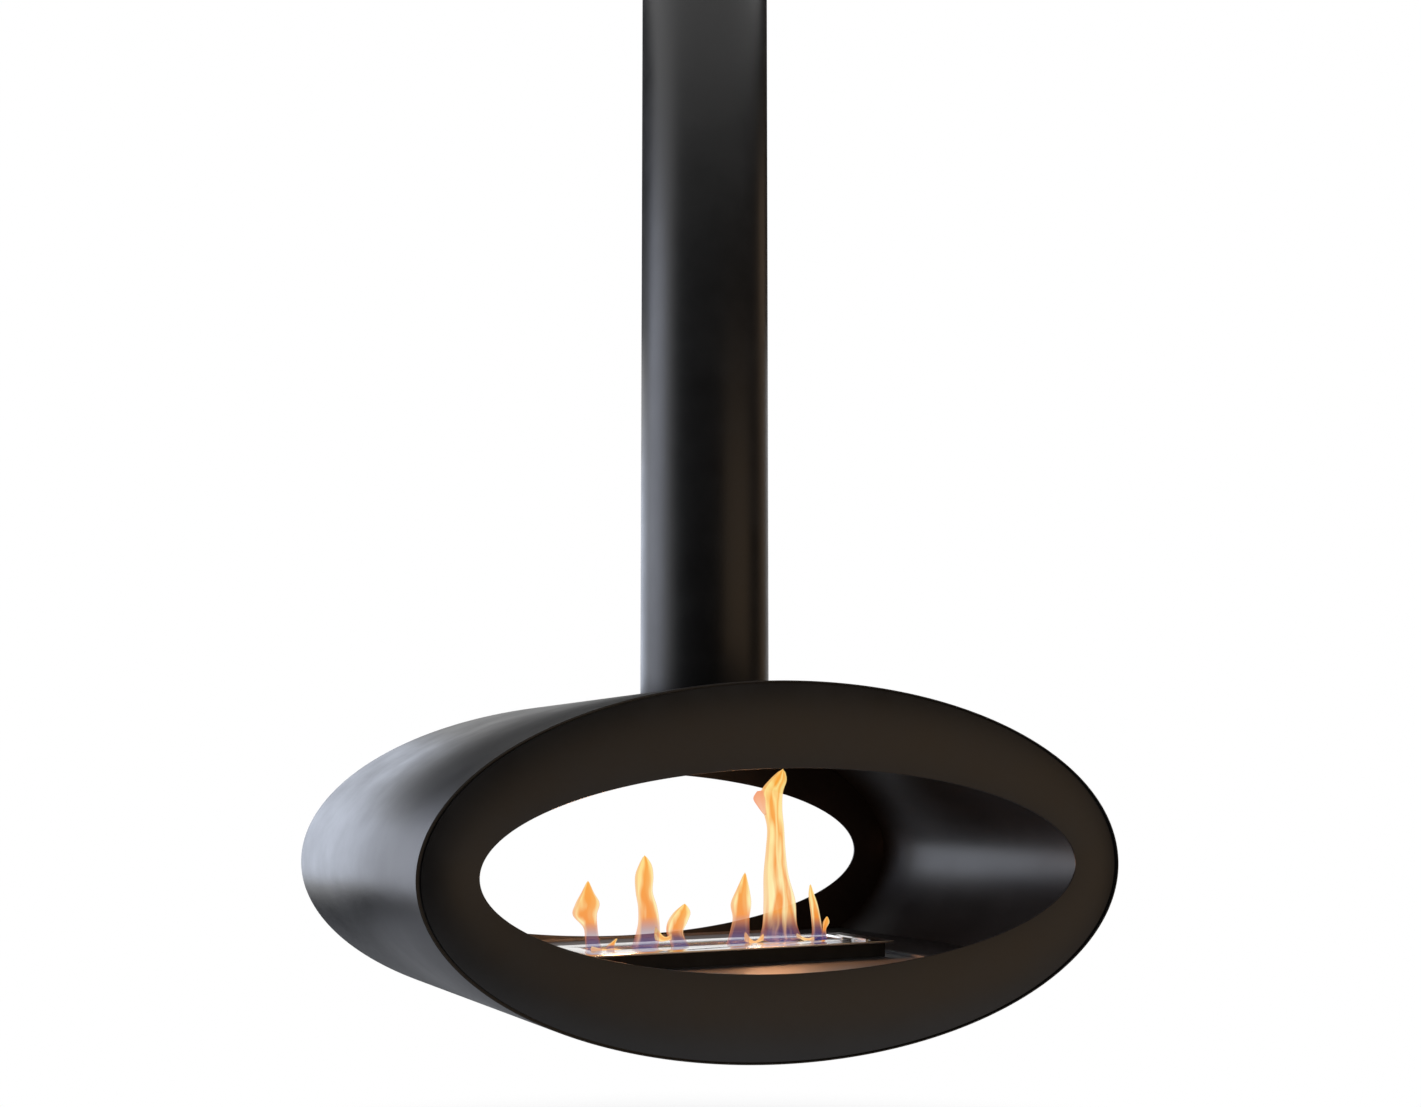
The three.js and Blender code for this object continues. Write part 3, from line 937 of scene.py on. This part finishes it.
def hand_over(
    obj: bpy.types.Object, body: Body, slot: Slot, finishes: Finishes, *nodes: str
) -> None:
    """Dresses a new piece, fastens it to its body and lets it stand for its nodes.

    Args:
        obj: the new piece.
        body: the body that it rides on.
        slot: the material slot of its finish.
        finishes: the object's finishes.
        nodes: the CAD nodes that it replaces.
    """
    finishes.dress(obj, slot)
    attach(obj, body.value)
    if nodes:
        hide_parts(*nodes)
    LOG.info("%s: %d faces", obj.name, len(obj.data.polygons))


# ---------- the body ----------


@dataclass
class Tunnel:
    """The elliptical body: outer shell, liner and the two face plates."""

    finishes: Finishes
    half_width: float = 0.550
    half_height: float = 0.260
    half_depth: float = 0.315
    shell_wall: float = 0.002
    liner_axes: tuple[float, float] = (0.534, 0.244)
    liner_wall: float = 0.0015
    liner_half_depth: float = 0.3102
    face_axes: tuple[float, float] = (0.543, 0.2568)
    opening: tuple[float, float] = (0.468, 0.1395)
    face_front: float = 0.3135
    face_thickness: float = 0.003
    edge_break: float = 0.0006

    def build(self) -> None:
        """Makes every piece of the body."""
        self.build_shell()
        self.build_liner()
        self.build_face("front", -1)
        self.build_face("rear", 1)

    def build_shell(self) -> None:
        """Rolls the outer shell and gives it its wall."""
        shell = elliptical_sheet(
            "body_shell", (self.half_width, self.half_height), -self.half_depth, self.half_depth
        )
        give_wall(shell, self.shell_wall)
        soften_edges(shell, self.edge_break)
        hand_over(shell, Body.FRAME, Slot.SATIN_BLACK, self.finishes, "outer_shell")

    def build_liner(self) -> None:
        """Rolls the liner."""
        liner = elliptical_sheet(
            "tunnel_liner", self.liner_axes, -self.liner_half_depth, self.liner_half_depth
        )
        give_wall(liner, self.liner_wall)
        shade(liner)
        hand_over(liner, Body.FRAME, Slot.SATIN_BLACK, self.finishes, "inner_liner")

    def build_face(self, end: str, side: int) -> None:
        """Makes a face plate as a ring between two outlines.

        Args:
            end: front or rear.
            side: -1 for the front and 1 for the rear.
        """
        y = side * self.face_front
        plate = ellipse(f"{end}_face", self.face_axes, y)
        inner = ellipse("opening", self.opening, y)
        select_only(plate, inner)
        bpy.ops.object.join()
        open_all(plate)
        bpy.ops.mesh.bridge_edge_loops()
        bpy.ops.mesh.select_all(action="SELECT")
        bpy.ops.mesh.extrude_region_move(
            TRANSFORM_OT_translate={"value": (0, -side * self.face_thickness, 0)}
        )
        close_outwards()
        soften_edges(plate, self.edge_break)
        hand_over(plate, Body.FRAME, Slot.SATIN_BLACK, self.finishes, f"{end}_face_plate")


@dataclass
class HangingPipe:
    """The round pipe between the ceiling and the body."""

    finishes: Finishes
    radius: float = 0.100
    wall: float = 0.002
    top: float = -0.001
    seat_gap: float = 0.0003
    crown_axes: tuple[float, float] = (0.550, 0.260)
    below_crown: float = 0.06  # how far the raw pipe reaches past the crown before it is cut
    cutter_reach: float = 0.2
    edge_break: float = 0.0004

    def build(self) -> None:
        """Makes the pipe and cuts its foot to the body's crown."""
        bottom = AXIS_Z + self.crown_axes[1] - self.below_crown
        bpy.ops.mesh.primitive_circle_add(vertices=PIPE_STEPS, radius=self.radius, location=(0, 0, self.top))
        pipe = new_piece("ceiling_pipe")
        open_all(pipe)
        extrude_edges((0, 0, bottom - self.top))
        close_outwards()
        give_wall(pipe, self.wall)
        axes = (self.crown_axes[0] + self.seat_gap, self.crown_axes[1] + self.seat_gap)
        cut(pipe, elliptical_plug(axes, -self.cutter_reach, self.cutter_reach))
        soften_edges(pipe, self.edge_break)
        hand_over(pipe, Body.FRAME, Slot.SATIN_BLACK, self.finishes, "hanging_pipe")


@dataclass
class TunnelFloor:
    """The shallow tray and the two wings beside it."""

    finishes: Finishes
    tray_inside: tuple[float, float] = (0.537, 0.6174)
    floor_z: float = -1.527
    hem_z: float = -1.5222
    hem: float = 0.0115
    sheet: float = 0.0015
    cutout: tuple[float, float] = (0.461, 0.126)
    cutout_y: float = -0.070
    cutout_radius: float = 0.006
    wing_inner_x: float = 0.2703
    wing_outer_x: float = 0.4279
    wing_z: float = -1.524
    wing_sheet: float = 0.002
    wing_flange: float = 0.0025
    half_depth: float = 0.3102
    edge_break: float = 0.0005

    def build(self) -> None:
        """Makes the tray and its wings."""
        self.build_tray()
        for side, name in ((-1, "left"), (1, "right")):
            self.build_wing(side, name)

    def build_tray(self) -> None:
        """Folds the tray's walls and hems up from its floor and cuts it out for the tank."""
        length, width = self.tray_inside
        bpy.ops.mesh.primitive_plane_add(size=1.0, location=(0, 0, self.floor_z))
        bpy.context.active_object.scale = (length, width, 1)
        tray = new_piece("tray")
        open_all(tray)
        bpy.ops.mesh.extrude_edges_move(
            TRANSFORM_OT_translate={"value": (0, 0, self.hem_z - self.floor_z)}
        )
        close_edit()
        for side in (-1, 1):
            select_where(
                tray,
                lambda p, s=side: p.z > self.hem_z - MM and s * p.x > length / 2 - MM,
                "EDGE",
            )
            extrude_edges((side * self.hem, 0, 0))
            close_edit()
        face_up(tray)
        give_wall(tray, self.sheet)
        below = (0, self.cutout_y, self.floor_z - CUT_DEPTH / 2)
        opening = rounded_plate("cutter", self.cutout, below, self.cutout_radius)
        cut(tray, block_from(opening, CUT_DEPTH))
        soften_edges(tray, self.edge_break)
        hand_over(tray, Body.FRAME, Slot.SATIN_BLACK, self.finishes, "floor_tray")
        # the tray is satin black in its slot; this paler grey finish is painted light on the tray floor
        tray.data.materials[0] = TrayCoatPaintedLight().build()

    def build_wing(self, side: int, name: str) -> None:
        """Makes a wing with its inner edge turned down.

        Args:
            side: -1 for the left and 1 for the right.
            name: left or right.
        """
        width = self.wing_outer_x - self.wing_inner_x
        middle = side * (self.wing_inner_x + self.wing_outer_x) / 2
        bpy.ops.mesh.primitive_plane_add(size=1.0, location=(middle, 0, self.wing_z))
        bpy.context.active_object.scale = (width, 2 * self.half_depth, 1)
        wing = new_piece(f"wing_{name}")
        select_where(wing, lambda p: side * p.x < self.wing_inner_x + MM, "EDGE")
        extrude_edges((0, 0, -self.wing_flange))
        close_edit()
        face_up(wing)
        give_wall(wing, self.wing_sheet)
        soften_edges(wing, self.edge_break)
        hand_over(wing, Body.FRAME, Slot.SATIN_BLACK, self.finishes, f"floor_wing_{name}")


# ---------- the burner ----------


@dataclass
class Burner:
    """The parts of the burner that show: the stainless rim and the skirt under it."""

    finishes: Finishes
    middle_y: float = -0.070
    rim_size: tuple[float, float] = (0.505, 0.158)
    rim_top: float = -1.5024
    rim_thickness: float = 0.0025
    rim_radius: float = 0.003
    slot_size: tuple[float, float] = (0.417, 0.048)
    slot_place: tuple[float, float] = (-0.013, -0.062)
    guide_size: tuple[float, float] = (0.010, 0.091)
    guide_place: tuple[float, float] = (0.2125, -0.0865)
    lip_height: float = 0.003
    lip_thickness: float = 0.002
    lip_radius: float = 0.0004
    skirt_size: tuple[float, float] = (0.481, 0.140)
    skirt_bottom: float = -1.5267
    skirt_height: float = 0.0215
    skirt_wall: float = 0.0015
    edge_break: float = 0.0005

    def build(self) -> None:
        """Makes the burner's visible pieces."""
        self.build_rim()
        self.build_skirt()

    def build_rim(self) -> None:
        """Cuts the flame slot and the tab's slot into the rim and raises the lip."""
        place = (0, self.middle_y, self.rim_top)
        rim = rounded_plate("burner_top", self.rim_size, place, self.rim_radius)
        give_wall(rim, self.rim_thickness)
        below = self.rim_top - CUT_DEPTH / 2
        slot = rounded_plate("cutter", self.slot_size, (*self.slot_place, below), self.rim_radius)
        cut(rim, block_from(slot, CUT_DEPTH))
        guide = rounded_plate("cutter", self.guide_size, (*self.guide_place, below), self.rim_radius)
        cut(rim, block_from(guide, CUT_DEPTH))
        slot_x, slot_y = self.slot_place
        lip_x = slot_x + self.slot_size[0] / 2 + self.lip_thickness / 2
        lip_size = (self.lip_thickness, self.slot_size[1])
        lip_place = (lip_x, slot_y, self.rim_top - self.rim_thickness / 2)
        lip = rounded_plate("lip", lip_size, lip_place, self.lip_radius)
        cut(rim, block_from(lip, self.rim_thickness / 2 + self.lip_height), "UNION")
        soften_edges(rim, self.edge_break)
        hand_over(rim, Body.BURNER, Slot.STAINLESS, self.finishes, "burner_rim")

    def build_skirt(self) -> None:
        """Folds the skirt's wall round the burner."""
        place = (0, self.middle_y, self.skirt_bottom)
        skirt = rounded_plate("burner_wall", self.skirt_size, place, self.rim_radius)
        open_all(skirt)
        bpy.ops.mesh.delete(type="ONLY_FACE")
        bpy.ops.mesh.select_all(action="SELECT")
        extrude_edges((0, 0, self.skirt_height))
        close_outwards()
        give_wall(skirt, self.skirt_wall)
        shade(skirt)
        hand_over(skirt, Body.BURNER, Slot.BURNER_BLACK, self.finishes, "burner_skirt")


@dataclass(frozen=True)
class Strand:
    """One closed skin of burning gas, given by its edges at a few stations.

    A tongue climbs: a station is its height above the rim and its left and right edges. A bridge
    of flame lies along the slot: a station is its place along X and its lower and upper edges.
    All in millimetres.
    """

    name: str
    stations: tuple[tuple[float, float, float], ...]
    climbs: bool = True
    depth_share: float = 0.55  # a strand is flatter along the tunnel than across it

    def edges_at(self, share: float) -> tuple[float, float, float]:
        """Reads the strand's smooth outline.

        Args:
            share: 0 at the first station and 1 at the last.

        Returns:
            The place along the strand and its two edges, in millimetres.
        """
        last = len(self.stations) - 1
        index = min(int(share * last), last - 1)
        t = share * last - index
        before, start, end, after = (
            self.stations[min(max(index + step, 0), last)] for step in (-1, 0, 1, 2)
        )
        return tuple(
            b + t / 2 * (c - a + t * (2 * a - 5 * b + 4 * c - d + t * (3 * (b - c) + d - a)))
            for a, b, c, d in zip(before, start, end, after)
        )


TONGUES = (
    Strand(
        "flame_1",
        (
            (-6, -222, -196), (14, -224, -202), (32, -227, -205), (50, -243, -206),
            (66, -239, -202), (82, -230, -211), (99, -221, -219),
        ),
    ),
    Strand(
        "flame_2",
        (
            (-6, -153, -110), (12, -146, -106), (34, -140, -106), (58, -140, -110),
            (80, -144, -117), (103, -145, -116), (120, -139, -119), (134, -131, -129),
        ),
    ),
    Strand(
        "flame_3",
        ((-6, -84, -52), (8, -89, -63), (20, -94, -67), (34, -92, -60), (48, -82, -55), (61, -65, -63)),
    ),
    Strand(
        "flame_4",
        ((-6, 5, 44), (14, 12, 45), (36, 17, 45), (58, 14, 48), (80, 24, 45), (105, 37, 39)),
    ),
    Strand(
        "flame_5",
        (
            (-6, 60, 140), (22, 69, 128), (60, 71, 125), (100, 71, 113), (140, 75, 108),
            (172, 77, 106), (200, 70, 103), (226, 66, 104), (246, 82, 111), (263, 103, 107),
        ),
    ),
    Strand(
        "flame_6",
        (
            (-6, 149, 178), (8, 156, 175), (30, 155, 171),
            (52, 152, 166), (68, 150, 160), (84, 152, 154),
        ),
    ),
    Strand("flame_7", ((-6, 173, 185), (12, 175, 181), (24, 176, 187), (33, 182, 184))),
    Strand("flame_8", ((-6, -192, -178), (3, -190, -178), (8, -184, -176), (14, -175, -173))),
)

LOBES = (Strand("lobe", ((192, 71, 76), (204, 61, 78), (217, 53, 78), (229, 60, 72))),)

BRIDGES = (
    Strand("bridge_left", ((-112, 8, 30), (-102, 6, 17), (-94, 7, 13), (-86, 8, 18)), False),
    Strand("bridge_right", ((38, 0, 16), (48, -3, 4), (57, -3, 1), (70, 1, 12)), False),
    Strand("trail_left", ((-215, -4, 5), (-196, -5, 0), (-180, -5, 0), (-166, -4, -2)), False),
    Strand("trail_right", ((128, 3, 10), (140, -2, 3), (150, -4, 1), (160, -3, 3)), False),
)


@dataclass
class Flames:
    """The flames over the slot, each a closed skin whose attribute gives the place across it."""

    slot_y: float = -0.062
    rim_z: float = -1.5024
    foot_z: float = -1.5095
    rings: int = 72
    sides: int = 28
    blue_foot: float = 44.0  # its height in millimetres, on a tall tongue
    blue_share: float = 0.4  # its share of the height, on a short one
    tall: float = 200.0  # millimetres from which a tongue has a stream along its middle

    def build(self) -> None:
        """Makes every tongue, and the low flames between the tongues."""
        for tongue in TONGUES:
            height = tongue.stations[-1][0]
            finish = BurningEthanol(
                f"burning_ethanol_{tongue.name}",
                clear=min(self.blue_foot, self.blue_share * height) / height,
                middle=0.9 if height > self.tall else 0.0,
            ).build(self.rim_z, self.rim_z + height * MM)
            self.build_strand(tongue, tongue.name, finish)
        low = BurningEthanol("low_ethanol_flame", clear=0.2, body="ffc080", stream="ffe0a0").build(
            self.rim_z - 0.012, self.rim_z + 0.03
        )
        for strand in BRIDGES:
            self.build_strand(strand, strand.name, low)
        lobe = BurningEthanol(
            "side_lobe_flame", clear=0.1, body="f9c4a0", tip="f4a070", stream="f9c4a0", tip_stream="f4a070"
        ).build(self.rim_z + 0.19, self.rim_z + 0.23)
        for strand in LOBES:
            self.build_strand(strand, strand.name, lobe)

    def build_strand(self, strand: Strand, name: str, finish: bpy.types.Material) -> None:
        """Draws a sphere out along a strand's stations.

        Args:
            strand: the strand.
            name: the object's name.
            finish: its finish.
        """
        bpy.ops.object.select_all(action="DESELECT")
        bpy.ops.mesh.primitive_uv_sphere_add(
            segments=self.sides, ring_count=self.rings, radius=1.0, location=(0, 0, 0)
        )
        flame = new_piece(name)
        across_share = flame.data.attributes.new("across", "FLOAT", "POINT")
        for vertex in flame.data.vertices:
            x, y, z = vertex.co
            share = 1 - math.acos(max(-1.0, min(1.0, z))) / math.pi
            place, low, high = (value * MM for value in strand.edges_at(share))
            reach = max(math.hypot(x, y), 1e-3)
            across_share.data[vertex.index].value = x / reach
            closing = min(1.0, share * self.rings / 3, (1 - share) * self.rings / 3)
            half = (high - low) / 2 * closing
            across = (low + high) / 2 + half * x / reach
            depth = half * strand.depth_share * y / reach
            if strand.climbs:
                vertex.co = (across, self.slot_y + depth, self.rim_z + place)
            else:
                vertex.co = (place, self.slot_y + depth, self.rim_z + across)
        open_all(flame)
        bpy.ops.mesh.normals_make_consistent(inside=False)
        close_edit()
        shade(flame, 180.0)
        flame.data.materials.clear()
        flame.data.materials.append(finish)
        flame.visible_shadow = False
        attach(flame, Body.BURNER.value)
        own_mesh(flame)
        LOG.info("%s: %d faces", flame.name, len(flame.data.polygons))


# ---------- the pieces that keep their CAD shape ----------

KEPT_NODES: dict[Slot, tuple[str, ...]] = {
    Slot.RAW_STEEL: ("ceiling_plate", "pipe_foot", "hanger_bridge", "floor_rail_front", "floor_rail_rear"),
    Slot.ZINC: (
        "hanger_yoke",
        "yoke_bolt_left",
        "yoke_bolt_right",
        "suspension_rod",
        "upper_nut",
        "upper_washer",
        "upper_lock_nut",
        "lower_washer",
        "lower_nut",
        "lower_lock_nut",
    ),
    Slot.SATIN_BLACK: (
        "front_rib",
        "rear_rib",
        "nut_cover",
        "cover_screw_1",
        "cover_screw_2",
        "cover_screw_3",
    ),
    Slot.STAINLESS: ("fuel_tank", "flame_grid", "damper_guide_left", "damper_guide_right", "damper_plate"),
    Slot.WOOL: ("insulation_left", "insulation_right", "wool_pad_1", "wool_pad_2", "wool_pad_3"),
}


def dress_kept_nodes(nodes: dict[str, bpy.types.Object], finishes: Finishes) -> None:
    """Gives the CAD nodes that stay their finishes.

    Args:
        nodes: the frame's nodes by name.
        finishes: the object's finishes.
    """
    for slot, names in KEPT_NODES.items():
        for name in names:
            finishes.dress(nodes[name], slot)
            LOG.info("%s: %s", name, slot.value)


# ---------- studio ----------


@dataclass
class Studio:
    """Pale floor, white surroundings, soft lamps and the camera."""

    floor_z: float = -2.35
    floor_radius: float = 3.4
    world_level: float = 0.45
    strip_level: float = 2.9
    card_radius: float = 5.5
    card_steps: int = 24
    camera_place: Point = (-1.096, -2.181, -1.274)
    camera_azimuth: float = 26.9
    camera_pitch: float = 4.0
    lens: float = 39.72
    shift_y: float = 0.09

    def build(self) -> None:
        """Sets up the stage, the lamps and the camera."""
        self.build_world()
        self.build_floor()
        self.build_cards()
        self.build_lamps()
        self.build_camera()
        bpy.context.scene.view_settings.view_transform = "Standard"

    def build_world(self) -> None:
        """White where it is seen, directly or in gloss, and a plain level of light elsewhere."""
        world = bpy.data.worlds.new("studio")
        bpy.context.scene.world = world
        world.use_nodes = True
        tree = world.node_tree
        tree.nodes.clear()
        rays = add_node(tree, "ShaderNodeLightPath").outputs
        seen = add_math(tree, "MAXIMUM", rays["Is Camera Ray"], rays["Is Glossy Ray"])
        shown = add_math(tree, "MAXIMUM", seen, rays["Is Transmission Ray"])
        dim = add_node(
            tree, "ShaderNodeBackground", {"Color": linear("eef1f5"), "Strength": self.world_level}
        )
        white = add_node(tree, "ShaderNodeBackground", {"Color": (1, 1, 1, 1), "Strength": 1.0})
        mixed = add_node(
            tree,
            "ShaderNodeMixShader",
            {0: shown, 1: dim.outputs["Background"], 2: white.outputs["Background"]},
        )
        add_node(tree, "ShaderNodeOutputWorld", {"Surface": mixed.outputs["Shader"]})

    def build_floor(self) -> None:
        """A pale disc under the object that keeps its shadow and fades out at its edge."""
        bpy.ops.object.select_all(action="DESELECT")
        bpy.ops.mesh.primitive_circle_add(
            vertices=96, radius=self.floor_radius, fill_type="NGON", location=(0, 0, self.floor_z)
        )
        floor = new_piece("floor")
        material, tree, place = new_tree("matt_white_floor")
        centred = add_node(
            tree,
            "ShaderNodeMapping",
            {
                "Vector": place,
                "Location": (0, 0, -self.floor_z / self.floor_radius),
                "Scale": (1 / self.floor_radius,) * 3,
            },
        )
        fade = add_node(
            tree, "ShaderNodeTexGradient", {"Vector": centred.outputs["Vector"]}, gradient_type="SPHERICAL"
        )
        solid = add_node(
            tree,
            "ShaderNodeMapRange",
            {"Value": fade.outputs["Fac"], "From Min": 0.02, "From Max": 0.45},
            interpolation_type="SMOOTHSTEP",
        )
        matt = add_node(tree, "ShaderNodeBsdfDiffuse", {"Color": linear("f6f6f6")})
        show_partly(tree, solid.outputs["Result"], matt)
        floor.data.materials.append(material)
        floor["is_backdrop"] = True

    def build_cards(self) -> None:
        """Black flags and one glowing strip that shape the gloss, as in a product studio."""
        velvet, tree, _ = new_tree("black_velvet")
        show_surface(tree, "ShaderNodeBsdfDiffuse", {"Color": linear("050505")})
        glow, tree, _ = new_tree("strip_light")
        light = {"Color": linear("e3ebfb"), "Strength": self.strip_level}
        show_surface(tree, "ShaderNodeEmission", light)
        for name, material, start, end, low, high in (
            ("flag_front", velvet, -84.0, 118.0, -5.0, 4.0),
            ("flag_back_high", velvet, 118.0, 225.0, 0.9, 4.0),
            ("flag_back_low", velvet, 160.0, 225.0, -5.0, -2.3),
            ("strip_back_left", glow, 172.0, 210.0, -2.0, 0.25),
        ):
            card = self.curved_card(name, math.radians(start), math.radians(end), low, high)
            card.data.materials.append(material)
            card.visible_camera = False
            card.visible_diffuse = False
            card.visible_transmission = False
            card.visible_shadow = False
            card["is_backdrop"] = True

    def curved_card(self, name: str, start: float, end: float, low: float, high: float) -> bpy.types.Object:
        """A card that curves round the object.

        Args:
            name: its name.
            start: the angle where it starts, from the front, towards the right, in radians.
            end: the angle where it ends.
            low: its lower edge.
            high: its upper edge.

        Returns:
            The card.
        """
        radius, steps = self.card_radius, self.card_steps
        bpy.ops.object.select_all(action="DESELECT")
        bpy.ops.mesh.primitive_grid_add(x_subdivisions=steps, y_subdivisions=1, size=2.0)
        card = new_piece(name)
        for vertex in card.data.vertices:
            angle = start + (end - start) * (vertex.co.x + 1) / 2
            height = low + (high - low) * (vertex.co.y + 1) / 2
            vertex.co = (radius * math.sin(angle), -radius * math.cos(angle), height)
        return card

    def build_lamps(self) -> None:
        """Soft boxes left and right, and the warm light of the fire."""
        self.area_lamp("key_left", (-3.1, 1.9, -0.5), 62.0, (2.6, 3.4), "dfe8ff")
        self.area_lamp("fill_right", (2.6, -3.9, -1.4), 22.0, (4.4, 3.0), "ffd9b0")
        self.area_lamp("rim_right", (3.7, 0.7, -0.3), 6.5, (1.4, 3.4), "ffd8b0")
        for name, x, power in (("fire_left", -0.17, 0.9), ("fire_right", 0.09, 1.3)):
            lamp = bpy.data.lights.new(name, "POINT")
            lamp.energy = power
            lamp.color = linear("ffb684")[:3]
            lamp.shadow_soft_size = 0.03
            holder = bpy.data.objects.new(name, lamp)
            holder.location = (x, -0.062, -1.43)
            holder.visible_camera = False
            bpy.context.scene.collection.objects.link(holder)

    def area_lamp(
        self, name: str, place: Point, power: float, size: tuple[float, float], tone: str
    ) -> None:
        """A soft box turned towards the body.

        Args:
            name: its name.
            place: where it stands.
            power: its power in watts.
            size: its width and height in metres.
            tone: its colour.
        """
        lamp = bpy.data.lights.new(name, "AREA")
        lamp.shape = "RECTANGLE"
        lamp.size, lamp.size_y = size
        lamp.energy = power
        lamp.color = linear(tone)[:3]
        holder = bpy.data.objects.new(name, lamp)
        holder.location = place
        aim = Vector((0, 0, -1.2)) - Vector(place)
        holder.rotation_euler = aim.to_track_quat("-Z", "Y").to_euler()
        holder.visible_camera = False
        bpy.context.scene.collection.objects.link(holder)

    def build_camera(self) -> None:
        """The camera at the photograph's viewing angle."""
        data = bpy.data.cameras.new("camera")
        data.lens = self.lens
        data.sensor_width = 36.0
        data.shift_y = self.shift_y
        camera = bpy.data.objects.new("camera", data)
        camera.location = self.camera_place
        camera.rotation_euler = (
            math.radians(90 + self.camera_pitch),
            0,
            math.radians(-self.camera_azimuth),
        )
        bpy.context.scene.collection.objects.link(camera)
        bpy.context.scene.camera = camera


def main() -> None:
    """Builds the object and its studio."""
    logging.basicConfig(level=logging.INFO, format="%(name)s %(message)s")
    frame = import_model()
    frame_box = [corner.copy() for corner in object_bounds()]
    finishes = Finishes()
    dress_kept_nodes(frame["nodes"], finishes)
    for assembly in (
        HangingPipe(finishes),
        Tunnel(finishes),
        TunnelFloor(finishes),
        Burner(finishes),
        Flames(),
    ):
        LOG.info("building %s", type(assembly).__name__)
        assembly.build()
    Studio().build()


if __name__ == "__main__":
    main()
